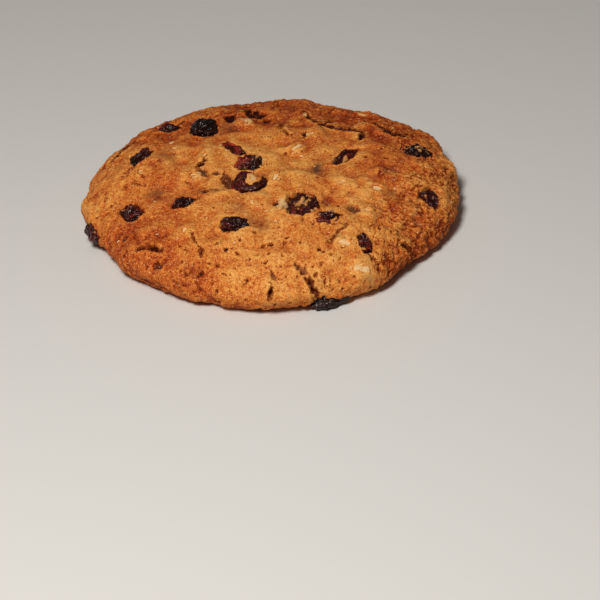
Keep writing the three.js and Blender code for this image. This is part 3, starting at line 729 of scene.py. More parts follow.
def flake_cover(points):
    """Dough that has crept over the flakes: a film over an oval round each, but for a frayed window in it."""
    torn = summed(points, WINDOW_FRAY)
    cover = np.zeros(len(points))
    for oat in flakes:
        along, across, up = oat["axes"] @ (points - oat["point"]).T
        length, width = oat["window"]
        opening = np.hypot(2 * along / length, 2 * across / width) + torn
        oval = np.hypot(along / FLAKE_LENGTH, across / FLAKE_WIDTH) * 2 / oat["scale"]
        film = between(1.9, 0.9, oval) * between(0.8, 1.2, opening) * (np.abs(up) < 3)
        cover = np.maximum(cover, film)
    return FLAKE_FILM * cover


print("crack relief beside the long fissure:", crack_relief(top_at(16.5, 19.4)[0]))

# %% The finished skin, as places and as the numbers that its colours come from
PATCHY = [(0.4, 7.5, 70), (0.3, 3.0, 71), (0.2, 1.4, 72)]
TOAST = 0.42  # how browned the crust is, from 0 to 1, before noise and patches
SOCKET_TOAST = 0.22  # added round raisins
FOOT_TOAST = 0.42  # added towards the sheet
FOOT_BROWNING = (9.5, 2.0)  # heights where that starts and where all of it is there
RELIEF_FREE = 1.8  # height from which relief is whole, because the foot stays flat
PORE_DEPTH, RIM_PORE_DEPTH = 0.35, 0.2  # everywhere, and what is added at the rim


def skin_at(bearing, share):
    """The crust lifted by every relief, and the numbers for its colour: painted shade in openings, toast,
    stain and shade over raisins, paleness, and how bare each place is.
    """
    dome, normals = dome_at(bearing, share)
    base = dome + normals * lift(dome)[:, None]
    grain, pore = crumb(dome)
    cracks, gap = crack_relief(dome)
    pit, bare = pit_edge(dome), bare_edge(dome)
    sockets, under, edge = socket_relief(base)
    steam = np.minimum(pore, 1.5 * pit)
    quiet = (1 - under) * between(-0.3, 0.4, gap)
    free = between(0.0, RELIEF_FREE, dome[:, 2])
    dent = (PORE_DEPTH + RIM_PORE_DEPTH * coarseness(dome)) * between(0.35, -0.25, steam)
    bare_floor = BARE_DEPTH * between(0.25, -0.2, bare) * (1 - under)
    rise = free * (quiet * (grain - dent + flake_cover(base)) + cracks + sockets - bare_floor)
    places = base + normals * rise[:, None]
    # Toast carries the patches' painted shade along with their browning.
    toast = TOAST + summed(dome, PATCHY) + patches(dome, BROWNING_AND_SHADE)
    toast = toast + SOCKET_TOAST * edge + FOOT_TOAST * between(*FOOT_BROWNING, dome[:, 2])
    # Painted shade: a half at the edge of each opening, all of it deeper in, and most of it in the sockets
    # under raisins.
    opened = np.clip(0.5 - np.minimum(steam, gap) / FADE, 0, 1) * (1 - under)
    values = {
        "opened": np.maximum(opened, 0.7 * between(0.5, 1.0, under)),
        "toast": toast,
        # Stains over raisins, painted shade beside one, and more grey-brown in the sockets under raisins.
        "stain": patches(dome, STAINS_AND_SHADE) + 0.3 * under,
        "pale": patches(dome, PALE_SPOTS_AND_HIGHLIGHTS),
        "bare": 0.5 - bare / FADE,
    }
    return places, normals, {key: np.clip(value, 0, 1) for key, value in values.items()}


sample = skin_at(np.radians(np.arange(0, 360, 0.5)), np.full(720, 0.6))
heights = sample[0][:, 2]
print("crust height at 0.6 of the way:", heights.min().round(1), "to", heights.max().round(1), "mm")

# %% [markdown]
# ## Finishes
# Nodes do the finest work, below what the mesh can hold: specks of sugar and bran, the grain of the crumb
# and the gloss of a raisin. Wiring nodes by hand hides the sums, so a small class wraps a socket and lets
# Python's own signs add the Math nodes. The materials then read as formulas.

# %% A socket that can be added and multiplied


class Amount:
    """An output of a node. Signs between amounts and numbers add Math nodes."""

    def __init__(self, finish, socket):
        self.finish = finish
        self.socket = socket

    def sum(self, operation, first, second):
        """A Math node."""
        return self.finish.node("Math", {0: first, 1: second}, operation=operation)

    def __add__(self, other):
        return self.sum("ADD", self, other)

    def __radd__(self, other):
        return self.sum("ADD", other, self)

    def __sub__(self, other):
        return self.sum("SUBTRACT", self, other)

    def __rsub__(self, other):
        return self.sum("SUBTRACT", other, self)

    def __mul__(self, other):
        return self.sum("MULTIPLY", self, other)

    def __rmul__(self, other):
        return self.sum("MULTIPLY", other, self)

    def within(self, low, high):
        """0 at low and 1 at high, in a straight line and no further."""
        return self.finish.node("MapRange", {"Value": self, "From Min": low, "From Max": high}, clamp=True)


# %% A finish, which is a material and its nodes


def tint(red, green, blue):
    """A colour given as on a screen, from 0 to 255, as the light that a shader works with."""
    screen = np.array([red, green, blue]) / 255
    light = np.where(screen <= 0.04045, screen / 12.92, ((screen + 0.055) / 1.055) ** 2.4)
    return (*light.tolist(), 1.0)


def stops(*rows):
    """A ramp's stops, each given as its place from 0 to 1 and its tint."""
    return [(at, tint(*shade)) for at, *shade in rows]


class Finish:
    """A material. Its patterns read object coordinates in millimetres, or numbers stored on the mesh."""

    def __init__(self, name):
        self.material = bpy.data.materials.new(name)
        self.material.use_nodes = True
        self.tree = self.material.node_tree
        self.shader = self.tree.nodes["Principled BSDF"]
        place = self.node("TexCoord", output="Object")
        self.place = self.node("VectorMath", {"Vector": place, "Scale": 1 / MM}, operation="SCALE")

    def node(self, kind, values=None, output=0, **settings):
        """Adds a node of a kind, with its sockets' values or links and its settings."""
        made = self.tree.nodes.new("ShaderNode" + kind)
        for name, setting in settings.items():
            setattr(made, name, setting)
        for name, value in (values or {}).items():
            self.put(made.inputs[name], value)
        return Amount(self, made.outputs[output])

    def put(self, socket, value):
        """Links an amount to a socket, or sets the socket's own number or colour."""
        if isinstance(value, Amount):
            self.tree.links.new(value.socket, socket)
        else:
            socket.default_value = value

    def stored(self, name):
        """A number that the mesh holds for each corner."""
        return self.node("Attribute", output="Fac", attribute_name=name)

    def noise(self, size, detail=3.0, roughness=0.55, shift=0.0, distortion=0.0):
        """Noise from 0 to 1 with lumps of about that many millimetres."""
        place = self.node("VectorMath", {0: self.place, 1: (shift, -shift, 2 * shift)}, operation="ADD")
        values = {"Vector": place, "Scale": 1 / size, "Detail": detail, "Roughness": roughness}
        return self.node("TexNoise", values | {"Distortion": distortion})

    def cells(self, size):
        """Distance to the nearest of points scattered that many millimetres apart, in those sizes."""
        return self.node("TexVoronoi", {"Vector": self.place, "Scale": 1 / size}, "Distance")

    def between(self, first, second, factor):
        """The first colour where the factor is 0, the second where it is 1."""
        values = {"Factor": factor, 6: first, 7: second}
        return self.node("Mix", values, 2, data_type="RGBA", clamp_factor=True)

    def over(self, colour, *layers):
        """Tints laid over a colour one after another, each with the share of it that shows."""
        for shade, share in layers:
            colour = self.between(colour, shade, share)
        return colour

    def ramp(self, factor, tones):
        """A colour read from stops."""
        read = self.node("ValToRGB", {"Fac": factor}, "Color")
        elements = read.socket.node.color_ramp.elements
        while len(elements) < len(tones):
            elements.new(0.5)
        for element, (at, shade) in zip(elements, tones):
            element.position, element.color = at, shade
        return read

    def wear(self, colour, roughness, height, **fixed):
        """Feeds the shader: colour, roughness, a bump whose height is in millimetres, and fixed values."""
        bump = self.node("Bump", {"Height": height, "Distance": MM, "Strength": 1.0}, "Normal")
        inputs = {"Base Color": colour, "Roughness": roughness, "Normal": bump}
        for name, value in (inputs | fixed).items():
            self.put(self.shader.inputs[name.replace("_", " ")], value)
        return self.material


print("a tint:", [round(part, 3) for part in tint(205, 128, 58)])

# %% [markdown]
# ### Browned dough
# Butter and sugar make the dough golden where it is thin, orange where it has set, and red-brown where it
# caught the heat. The colour also paints light and shade: paler on raised places, redder and darker in
# hollows, and dark in pores, pits and cracks, with painted sparkle and glints. The numbers stored on the mesh
# say where, and the specks and bran between them come from noise at half a millimetre and less. The crust is
# dull, with a faint greasy sheen.

# %% The dough's tones and its finish
DOUGH_TONES = stops(
    (0.0, 242, 178, 99), (0.25, 227, 148, 69), (0.5, 205, 110, 45), (0.75, 173, 70, 26), (1.0, 114, 36, 12)
)
# Painted shade in tiny pores; butter yellow; grey-brown over a raisin under the skin, with painted shade
# beside one.
PORE_SHADE, BUTTER, OVER_RAISIN_AND_SHADE = tint(144, 52, 18), tint(228, 158, 74), tint(98, 62, 40)
# The shaded and lit ends of the bare floor, painted; whitish dough.
BARE_SHADED, BARE_LIT, WHITISH = tint(84, 38, 18), tint(178, 104, 54), tint(236, 198, 140)
# Painted highlights: sugar sparkle and glints.
PAINTED_SPARKLE, PAINTED_GLINT = tint(250, 208, 150), tint(255, 226, 184)
# Painted shade of openings: browned and shaded at their edges, nearly black on their floors.
OPENING_EDGE_SHADE, OPENING_FLOOR_SHADE = tint(150, 57, 18), tint(46, 14, 5)
# Sizes of its noises, in millimetres.
SPECK_SIZE, GRAIN_SIZE, BLOT_SIZE, PORE_SIZE, BUTTER_SIZE, PAINTED_GLINT_SPACING = 0.38, 0.85, 2.4, 0.55, 8.0, 0.8
DOUGH_SHEEN = 0.08


def browned_dough():
    """Toast, hollow shade and noise pick a colour. Stains and shade over raisins, paleness, painted sparkle
    and glints lie on it, and openings are painted dark with shade.

    Toast says how browned a place is. The hollow shade says how sunk it is, and paints hollows redder and
    darker and raised places paler. The opening shade is a half at the edge of each opening, so that finer
    noise can fray that edge before it is cut sharp.
    """
    dough = Finish("browned_dough")
    speck = dough.noise(SPECK_SIZE, roughness=0.6, shift=5.0) - 0.5
    grain = dough.noise(GRAIN_SIZE, detail=4.0, roughness=0.6, shift=9.0) - 0.5
    blot = dough.noise(BLOT_SIZE, detail=4.0, roughness=0.6, shift=2.0, distortion=0.6) - 0.5
    hollow, stain = dough.stored("hollow") - 0.5, dough.stored("stain")
    # Hollow shade paints hollows redder and darker and raised places paler, as shade and light.
    toast = dough.stored("toast") * 0.62 + hollow * 0.42 + grain * 0.6 + speck * 1.6 + blot * 0.5 + 0.16
    # Painted shade in pores too small for the mesh, with a slight dent in the bump.
    pore = dough.noise(PORE_SIZE, detail=2.0, roughness=0.5, shift=17.0).within(0.365, 0.305)
    greasy = dough.noise(BUTTER_SIZE, detail=2.0, roughness=0.5, shift=31.0)
    butter = (greasy - toast * 0.5).within(0.15, 0.45)
    bare = (dough.stored("bare") + grain * 0.9 + speck * 0.7).within(0.46, 0.56)
    # The bare floor's tints paint shade and light: darker in hollows and where toasted, lighter on its raised
    # parts.
    thin = grain - hollow * 0.5 - dough.stored("toast") * 0.5
    bare_floor = dough.between(BARE_SHADED, BARE_LIT, thin.within(-0.45, -0.15))
    pale = (dough.stored("pale") + grain * 1.2 + speck * 0.6).within(0.3, 0.75)
    # Painted sparkle: pale specks of sugar painted bright as glints.
    painted_sparkle = speck.within(0.14, 0.24) * (1 - stain)
    # Painted glints, scattered in patches.
    painted_glint = dough.cells(PAINTED_GLINT_SPACING).within(0.2, 0.1) * blot.within(-0.08, 0.0)
    # Painted shade of openings, frayed by noise: the edge band and the dark floor.
    opened = dough.stored("opened") + grain * 1.1 + speck * 0.9
    edge, deep_shade = opened.within(0.46, 0.56), opened.within(0.6, 0.85)
    colour = dough.over(
        dough.ramp(toast, DOUGH_TONES),
        (PORE_SHADE, pore * 0.75),
        (BUTTER, butter * 0.15),
        (bare_floor, bare * 0.92),
        # Grey-brown over raisins under the skin, and painted shade beside one.
        (OVER_RAISIN_AND_SHADE, stain * (1.05 + grain * 0.7)),
        # Whitish dough and glazed lumps, with painted highlights on some.
        (WHITISH, pale * 0.8),
        (PAINTED_SPARKLE, painted_sparkle * 0.4),
        (PAINTED_GLINT, painted_glint * 0.6),
        (OPENING_EDGE_SHADE, edge * 0.75),
        (OPENING_FLOOR_SHADE, deep_shade),
    )
    height = grain * 0.3 + speck * 0.12 - pore * 0.12 - edge * 0.2
    return dough.wear(colour, 0.6 + speck * 0.6, height, Specular_IOR_Level=DOUGH_SHEEN)


dough_finish = browned_dough()
print("nodes in the dough's finish:", len(dough_finish.node_tree.nodes))

# %% [markdown]
# ## The crust as one closed skin
# A round skin could be rings round its middle, but their faces crowd together there and stretch at the rim.
# A square grid pulled into a disc has faces of nearly one size: how near a point is to the square's edge is
# its share of the way to the foot, and where it lies along the edge is its bearing. A coarser grid closes
# the base, and one strip of triangles joins the two, so nothing is open.

# %% A square grid pulled into a disc


def square_grid(cells):
    """Bearing and share of each corner, each face's four corners, and the corners round the edge in order."""
    steps = np.linspace(-1, 1, cells + 1)
    a, b = (side.ravel() for side in np.meshgrid(steps, steps, indexing="ij"))
    wide = abs(a) >= abs(b)
    longer = np.where(wide, a, b)
    lean = np.where(wide, b, a) / np.where(longer == 0, 1, longer) * np.pi / 4
    bearing = np.where(wide, lean, np.pi / 2 - lean) + np.where(longer < 0, np.pi, 0)
    numbers = np.arange((cells + 1) ** 2).reshape(cells + 1, cells + 1)
    low, high = numbers[:-1], numbers[1:]
    faces = np.stack([low[:, :-1], high[:, :-1], high[:, 1:], low[:, 1:]], -1).reshape(-1, 4)
    edge = np.concatenate([numbers[:-1, 0], numbers[-1, :-1], numbers[:0:-1, -1], numbers[0, :0:-1]])
    return bearing, np.maximum(abs(a), abs(b)), faces, edge


def make_piece(name, points, faces, finish, slot, **stored):
    """A smooth mesh from places in millimetres and arrays of faces. It rides on the cookie's body."""
    mesh = bpy.data.meshes.new(name)
    corners = np.concatenate([rows.ravel() for rows in faces])
    sides = np.concatenate([np.full(len(rows), rows.shape[1]) for rows in faces])
    mesh.vertices.add(len(points))
    mesh.vertices.foreach_set("co", ((points - CENTRE) * MM).ravel())
    mesh.loops.add(len(corners))
    mesh.loops.foreach_set("vertex_index", corners)
    mesh.polygons.add(len(sides))
    mesh.polygons.foreach_set("loop_start", np.cumsum(sides) - sides)
    mesh.polygons.foreach_set("use_smooth", np.ones(len(sides), bool))
    mesh.update(calc_edges=True)
    for key, value in stored.items():
        mesh.attributes.new(key, "FLOAT", "POINT").data.foreach_set("value", value)
    mesh.materials.append(finish)
    piece = bpy.data.objects.new(name, mesh)
    bpy.context.scene.collection.objects.link(piece)
    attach(piece, "root") or piece
    print(name, "has", int((sides - 2).sum()), "triangles")
    return piece


print("a square of 4 cells a side has", [len(part) for part in square_grid(4)[2:]], "faces and edge corners")

# %% Top, base and the strip between
SKIN_CELLS = 280
BASE_PITS = 0.7
BASE_AIR = [(1.0, 2.3, 100), (0.6, 1.1, 101)]
BASE_PATCHY = [(0.6, 8, 102), (0.3, 2.2, 103)]
HOLLOWS = [(2, 1.3), (7, 0.7)]  # how many cells around count, and how much a depth under their mean weighs in the painted hollow shade


def plain_dough(corners, **values):
    """The numbers behind the dough's colour at that many corners: level and whole, but for those given."""
    plain = {"opened": 0.0, "toast": 0.5, "stain": 0.0, "pale": 0.0, "hollow": 0.5, "bare": 0.0}
    return {key: np.zeros(corners) + value for key, value in (plain | values).items()}


def base_at(bearing, share):
    """Flat where it stood on the sheet, with small pits of caught steam whose shade is painted dark, and
    browner at its edge.
    """
    out = FOOT_RADIUS * outline_radius(bearing) / RADIUS * share * 0.985
    flat = np.stack([out * np.cos(bearing), out * np.sin(bearing), np.zeros(len(out))], 1)
    pit = between(0.2, 0.42, summed(flat, BASE_AIR))
    places = flat + np.array([0, 0, 1]) * (BASE_PITS * pit * between(1.0, 0.95, share))[:, None]
    toast = np.clip(0.62 + 0.35 * between(0.6, 1.0, share) + summed(flat, BASE_PATCHY), 0, 1)
    return places, plain_dough(len(out), opened=0.8 * pit, toast=toast, stain=0.12)


def smoothed(rows, reach):
    """Each value's mean with its neighbours in the grid, up to reach cells away along both sides."""
    for axis in (0, 1):
        margins = [(reach, reach) if n == axis else (0, 0) for n in range(rows.ndim)]
        padded = np.pad(rows, margins, mode="edge")
        total = np.insert(np.cumsum(padded, axis=axis), 0, 0, axis=axis)
        span = 2 * reach + 1
        ahead, behind = np.split(total, [span], axis=axis)[1], np.split(total, [-span], axis=axis)[0]
        rows = (ahead - behind) / span
    return rows


def hollow_of(places, normals, cells):
    """How sunk each place is, a half where it is level, for the dough's painted hollow shade: its depth under
    the means of its neighbourhoods.
    """
    grid, out = (rows.reshape(cells + 1, cells + 1, 3) for rows in (places, normals))
    sunk = sum(weight * ((smoothed(grid, reach) - grid) * out).sum(2) for reach, weight in HOLLOWS)
    return np.clip(0.5 + sunk, 0, 1).ravel()


bearing, share, top_faces, fine_edge = square_grid(SKIN_CELLS)
places, normals, values = skin_at(bearing, share)
values["hollow"] = hollow_of(places, normals, SKIN_CELLS)
bearing, share, base_faces, edge = square_grid(SKIN_CELLS // 2)
base_places, base_values = base_at(bearing, share)
inner, outer = edge + len(places), fine_edge
first, middle, last = outer[::2], outer[1::2], np.roll(outer, -2)[::2]
strip = [
    np.stack([inner, middle, first], 1),
    np.stack([inner, np.roll(inner, -1), middle], 1),
    np.stack([np.roll(inner, -1), last, middle], 1),
]
crust = make_piece(
    "crust",
    np.concatenate([places, base_places]),
    [top_faces, base_faces[:, ::-1] + len(places), *strip],
    dough_finish,
    "dough",
    **{key: np.concatenate([values[key], base_values[key]]) for key in values},
)
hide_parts("cookie")

# %% [markdown]
# ## Raisins
# A raisin is a grape that shrank inside its skin, so the skin folds: ridges that wander from the stem end
# to the tip, with shorter wrinkles across them. Its form is the solid's own: an oval, swollen by the same
# noise and bent round the same arc. Noises folded at their middle value give sharp crests, drawn out along
# the raisin, and broad hollows between. Its two poles lie at the tips, where the folds of a real one meet.

# %% The raisin's tones and its finish
RAISIN_TONES = stops(
    (0.0, 20, 7, 6), (0.25, 52, 14, 12), (0.5, 98, 26, 20), (0.75, 142, 40, 26), (1.0, 178, 66, 40)
)
# A greyish bloom that is partly painted sheen, painted glints, and dough stuck to the skin.
BLOOM_AND_SHEEN, PAINTED_SKIN_GLINT, STUCK_DOUGH = tint(120, 76, 78), tint(224, 208, 204), tint(198, 136, 78)
RAISIN_GLOSS = {
    "Specular_IOR_Level": 0.26,
    "Specular_Tint": (1.0, 0.84, 0.76, 1.0),
    "Coat_Weight": 0.1,
    "Coat_Roughness": 0.1,
}


def raisin_skin():
    """Plum and wine red where the skin is thin, painted lighter on its crests and nearly black in its folds
    as light and shade, with a greyish bloom that is partly painted sheen, and painted glints.
    """
    skin = Finish("raisin_skin")
    fine = skin.noise(0.28, roughness=0.6, shift=3.0)
    streak = skin.noise(0.8, roughness=0.6, shift=7.0, distortion=1.5)
    ridge_light, red, dough = (skin.stored(name) for name in ("ridge_light", "red", "dough"))
    # Painted light and shade: the bloom, partly painted sheen, sits on crests, and the ramp paints crests
    # lighter and folds nearly black.
    bloom_and_sheen = (ridge_light * (fine - 0.3) * 1.4).within(0.2, 0.7) * (red + 0.1)
    # Painted glints on the crests.
    painted_glint = skin.cells(0.65).within(0.2, 0.1) * ridge_light
    colour = skin.ramp(red * (streak * 1.1 + 0.2) * (ridge_light * 1.1 + 0.3), RAISIN_TONES)
    colour = skin.over(colour, (BLOOM_AND_SHEEN, bloom_and_sheen * 0.3), (PAINTED_SKIN_GLINT, painted_glint * 0.6), (STUCK_DOUGH, dough))
    roughness = 0.24 + (fine - 0.5) * 0.3 + dough * 0.45
    return skin.wear(colour, roughness, fine * 0.05 + streak * 0.14, **RAISIN_GLOSS)


raisin_finish = raisin_skin()
print("nodes in the raisin's finish:", len(raisin_finish.node_tree.nodes))

# %% Corners on rings between two poles, and the faces that join them


def ring_angles(rings, turns):
    """For each corner of the rings, without the poles: the angle from the first pole, and the turn round."""
    tilt = np.pi * np.arange(1, rings - 1) / (rings - 1)
    turn = 2 * np.pi * np.arange(turns) / turns
    return [angle.ravel() for angle in np.meshgrid(tilt, turn, indexing="ij")]


def globe(rings, turns):
    """Corners of a unit globe whose poles lie along x: one pole, its rings, and the other pole."""
    tilt, turn = ring_angles(rings, turns)
    corners = np.stack([np.cos(tilt), np.sin(tilt) * np.cos(turn), np.sin(tilt) * np.sin(turn)], 1)
    return np.concatenate([[[1, 0, 0]], corners, [[-1, 0, 0]]])


def ring_faces(rings, turns, copies=1):
    """Faces from pole to pole, for copies whose corners follow one another."""
    numbers = np.arange((rings - 2) * turns).reshape(rings - 2, turns) + 1
    after = np.roll(numbers, -1, axis=1)
    count = numbers.size + 2
    sides = np.stack([numbers[:-1], numbers[1:], after[1:], after[:-1]], -1).reshape(-1, 4)
    near = np.stack([np.zeros(turns, int), numbers[0], after[0]], 1)
    far = np.stack([np.full(turns, count - 1), after[-1], numbers[-1]], 1)
    shift = np.arange(copies)[:, None, None] * count
    return [(part + shift).reshape(-1, part.shape[1]) for part in (sides, near, far)]


print("a globe of 5 rings and 6 turns has", len(globe(5, 6)), "corners")

# %% The raisin's form
RAISIN_RINGS, RAISIN_TURNS = 77, 88
WRINKLES = 2.1
FOLDS = [(0.4, 2.0, 4), (0.45, 1.1, 5), (0.25, 0.55, 6)]  # height, spacing and salt of the crests
LOBES = [(0.8, 2.6, 7), (0.5, 1.3, 8)]
SMEAR_RISE = 0.35


def crest(value):
    """One where a noise is at its middle value, falling straight on both sides: a sharp crest."""
    return 1 - np.minimum(4 * np.abs(value), 1)


# Dough that lies across raisins: both ends of each strip in plan, and its half-width.
SMEARS = [
    (-4.6, -9.6, -1.6, -8.0, 0.7), (19.5, -38.4, 21.1, -37.5, 1.1), (5.8, -21.6, 7.4, -19.5, 0.45),
    (7.9, -21.1, 8.9, -19.0, 0.3), (8.7, -15.8, 9.8, -15.4, 0.3), (9.6, -23.4, 10.4, -22.4, 0.4),
    (13.5, -26.0, 15.4, -25.7, 0.2), (18.6, -0.6, 19.2, 0.2, 0.3), (-3.4, 1.4, -2.2, 2.8, 0.5),
    (37.4, 7.6, 39.6, 8.8, 0.12),
]


def smeared(points):
    """One on the strips and nothing off them, with an edge jagged by noise."""
    off = np.full(len(points), FAR)
    for *ends, half in SMEARS:
        start, end = np.array(ends).reshape(2, 2)
        off = np.minimum(off, beside(points[:, :2], start, end)[1] - half)
    return between(0.15, -0.1, off + 0.7 * noise_at(points, 0.9, 46))


def wrinkled(raisin, globe_points):
    """The solid's swollen oval with crests of three noises on it, and lobes that make its outline uneven."""
    red, redder, crinkle, dough = raisin["look"]
    seed, half = raisin["seed"], raisin["half"]
    x, y, z = globe_points.T
    size = 0.97 + 0.34 * noise(x * WRINKLES + seed, y * WRINKLES + 3, z * WRINKLES - 5)
    drawn = globe_points * (half * [0.75, 1.0, 1.0]) + seed
    drawn = drawn + 0.8 * drift(drawn, 1.5, (1, 2, 3))
    folded = sum(height * (crest(noise_at(drawn, spacing, salt)) - 0.5) for height, spacing, salt in FOLDS)
    streak = noise_at(drawn * [0.6, 1.5, 1.0], 1.0, 9) + 0.4 * noise_at(drawn, 0.5, 10)
    smear = between(0.4 - 0.45 * dough, 0.46 - 0.45 * dough, streak) * min(1.0, dough * 6)
    uneven = crinkle * (folded * (1 - 0.7 * smear) + summed(drawn, LOBES)) + 0.12 * smear
    x, y, z = globe_points.T * half[:, None] * (size + uneven / half.mean())
    points = raisin["middle"] + np.stack([*bent(x, y, raisin), z], 1) @ raisin["axes"]
    over = smeared(points) * (globe_points[:, 2] > -0.3)
    points = points + SMEAR_RISE * over[:, None] * raisin["axes"][2]
    red = np.clip(red + redder * globe_points[:, 0] + 0.5 * noise_at(drawn, 2.2, 11), 0, 1)
    # The ridge light is high on crests, where the skin is painted lighter, and low in folds, where it is
    # painted dark.
    return points, {"ridge_light": np.clip(0.45 + 1.1 * folded, 0, 1), "red": red, "dough": np.maximum(smear, over)}


globe_points, globe_faces = globe(RAISIN_RINGS, RAISIN_TURNS), ring_faces(RAISIN_RINGS, RAISIN_TURNS)
for index, raisin in enumerate(raisins):
    points, stored = wrinkled(raisin, globe_points)
    name = f"raisin_{index + 1:02d}"
    piece = make_piece(name + "_skin", points, globe_faces, raisin_finish, "raisin", **stored)
    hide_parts(name)

# %% [markdown]
# ## Oat flakes
# Rolling squeezes a grain of oat into a thin oval with a crease along its middle and a ragged edge. Baked
# in, most of it lies under the crust and only a pale sliver shows. Each flake is a closed lens: one parameter
# goes round it, the other from the middle of its top over the edge to the middle of its underside. All the
# flakes and their broken bits make one piece.

# %% The flakes' tones and their finish
OAT_TONES = stops((0.0, 246, 212, 158), (0.45, 236, 184, 118), (0.75, 218, 146, 74), (1.0, 184, 98, 42))


def oat_bran():
    """Cream, toasted at the edges, with fine bran streaks and a dusting of dough."""
    oat = Finish("oat_bran")
    grain = oat.noise(0.7, detail=4.0, roughness=0.65, shift=4.0) - 0.5
    speck = oat.noise(0.3, roughness=0.6, shift=8.0) - 0.5
    colour = oat.ramp(oat.stored("toast") + grain * 1.2 + speck * 0.5, OAT_TONES)
    return oat.wear(colour, 0.55 + speck * 0.4, grain * 0.2 + speck * 0.08)


oat_finish = oat_bran()
print("nodes in the flakes' finish:", len(oat_finish.node_tree.nodes))

# %% The flakes' form, and the bits that broke off
FLAKE_RINGS, FLAKE_TURNS = 11, 26
CREASE = 0.16
BROKEN_BITS = 46
BIT_WINDOW = (9, 9)  # as wide as the dough's film reaches, so that nothing covers them


def flake_points():
    """All flakes at once: reach and turn give a wavy oval with a flat top and a crease. Tilts lean it."""
    reach, turn = ring_angles(FLAKE_RINGS, FLAKE_TURNS)
    reach, turn = np.concatenate([[0], reach, [np.pi]]), np.pad(turn, 1)
    out, level = np.sin(reach) ** 0.8, np.sign(np.cos(reach)) * np.abs(np.cos(reach)) ** 0.5
    lies = {key: np.array([oat[key] for oat in oats]) for key in oats[0]}
    seed, scale, rise = (lies[key][:, None] for key in ("seed", "scale", "rise"))
    wavy = 0.94 + 0.3 * noise(np.cos(turn) * 1.7 + seed, np.sin(turn) * 1.7, seed * 3.0)
    u = out * np.cos(turn) * wavy * scale * FLAKE_LENGTH / 2
    v = out * np.sin(turn) * wavy * scale * FLAKE_WIDTH / 2
    thin = FLAKE_THICKNESS * np.minimum(scale, 1)
    up = rise - thin / 2 + level * thin / 2 - CREASE * (level > 0) * bell(v, 0.3)
    up = up + u * lies["tilts"][:, :1] + v * lies["tilts"][:, 1:] + 0.2 * noise(u / 0.9 + seed, v / 0.6, 0.5)
    points = lies["point"][:, None] + np.einsum("nmk,nkj->nmj", np.stack([u, v, up], 2), lies["axes"])
    length, width = lies["window"].T[..., None]
    covered = between(0.5, 1.1, np.hypot(2 * u / length, 2 * v / width))
    edge = np.maximum(between(0.7, 1.0, out), 0.6 * covered)
    toast = 0.2 + 0.5 * edge + 0.5 * noise(u / 1.2, v / 1.2, seed)
    return points.reshape(-1, 3), np.clip(toast, 0, 1).ravel()


oats = list(flakes)
for n in range(BROKEN_BITS):
    turned, size, raised = lattice_value(n, 7, [1, 2, 3]).tolist()
    spot = n * GOLDEN_ANGLE + 0.4, 0.06 + 0.8 * math.sqrt((n + 0.5) / BROKEN_BITS)
    place = skin_at(*(np.array([part]) for part in spot))[:2]
    if min(reach_of(raisin, place[0])[0] for raisin in raisins) > 1.4:
        bit = flake(place, turned * 6.3, n + 200.5, BIT_WINDOW, 0.16 + 0.3 * size**2)
        oats.append(bit | {"rise": 0.06 + 0.12 * raised})
points, toast = flake_points()
faces = ring_faces(FLAKE_RINGS, FLAKE_TURNS, len(oats))
make_piece("oat_flakes", points, faces, oat_finish, "dough", toast=toast)

# %% [markdown]
# ## Crumbs
# Grains of sugar and crumbs that came loose while the crust set cling to it, mostly towards the rim. Each is
# a small lumpy blob, partly sunk, and thousands of them have to stay light, so one blob of a few dozen faces
# is made lumpy, stretched and placed for all of them in whole arrays.

# %% Thousands of crumbs in one piece
CRUMBS = 2200
CRUMB_RINGS, CRUMB_TURNS = 5, 6
CRUMB_REACH = 0.882  # share of the way to the foot that they reach
CRUMB_RADII = (0.1, 0.24)  # the least, and what chance adds to it
CRUMB_SUNK = 0.3  # of its radius


def crumb_places():
    """Places spread evenly by chance, kept where the crust is coarse and whole and clear of raisins."""
    chance = lattice_value(np.arange(3 * CRUMBS)[:, None], np.arange(8)[None], 5)
    places, normals, values = skin_at(chance[:, 0] * 2 * np.pi, CRUMB_REACH * np.sqrt(chance[:, 1]))
    clear = np.min([reach_of(raisin, places) for raisin in raisins], axis=0) > 1.1
    kept = clear & (chance[:, 2] < 0.15 + 0.85 * coarseness(places)) & (values["opened"] < 0.6)
    kept = np.flatnonzero(kept)[:CRUMBS]
    return chance[kept], places[kept], normals[kept], values["toast"][kept]


def crumbs():
    """A blob on each place: a globe made lumpy, stretched, spun round the crust's normal and sunk into it."""
    chance, places, normals, toast = crumb_places()
    least, growth = CRUMB_RADII
    ball = globe(CRUMB_RINGS, CRUMB_TURNS)[:, [1, 2, 0]]
    size = least + growth * chance[:, 4] ** 3
    lumpy = 1 + 0.7 * noise(ball[:, 0] * 1.3 + 9 * chance[:, 5:6], ball[:, 1] * 1.3, ball[:, 2] * 1.3)
    stretch = np.stack([0.8 + 0.7 * chance[:, 6], 0.9 + 0.3 * chance[:, 7], np.full(len(size), 0.75)], 1)
    blobs = ball * lumpy[:, :, None] * (stretch * size[:, None])[:, None]
    spin = 2 * np.pi * chance[:, 5]
    across = np.cross(normals, np.stack([np.cos(spin), np.sin(spin), np.zeros(len(spin))], 1))
    across = across / np.linalg.norm(across, axis=1, keepdims=True)
    axes = np.stack([np.cross(across, normals), across, normals], 1)
    points = (places - CRUMB_SUNK * normals * size[:, None])[:, None] + np.einsum("nmk,nkj->nmj", blobs, axes)
    toast = np.clip(toast + 0.5 * (chance[:, 3] - 0.55), 0, 1)
    toast, pale = (np.repeat(value, len(ball)) for value in (toast, 0.55 * (chance[:, 6] > 0.93)))
    return points.reshape(-1, 3), len(size), plain_dough(len(toast), toast=toast, pale=pale)


points, count, stored = crumbs()
faces = ring_faces(CRUMB_RINGS, CRUMB_TURNS, count)
make_piece("crumbs", points, faces, dough_finish, "dough", **stored)

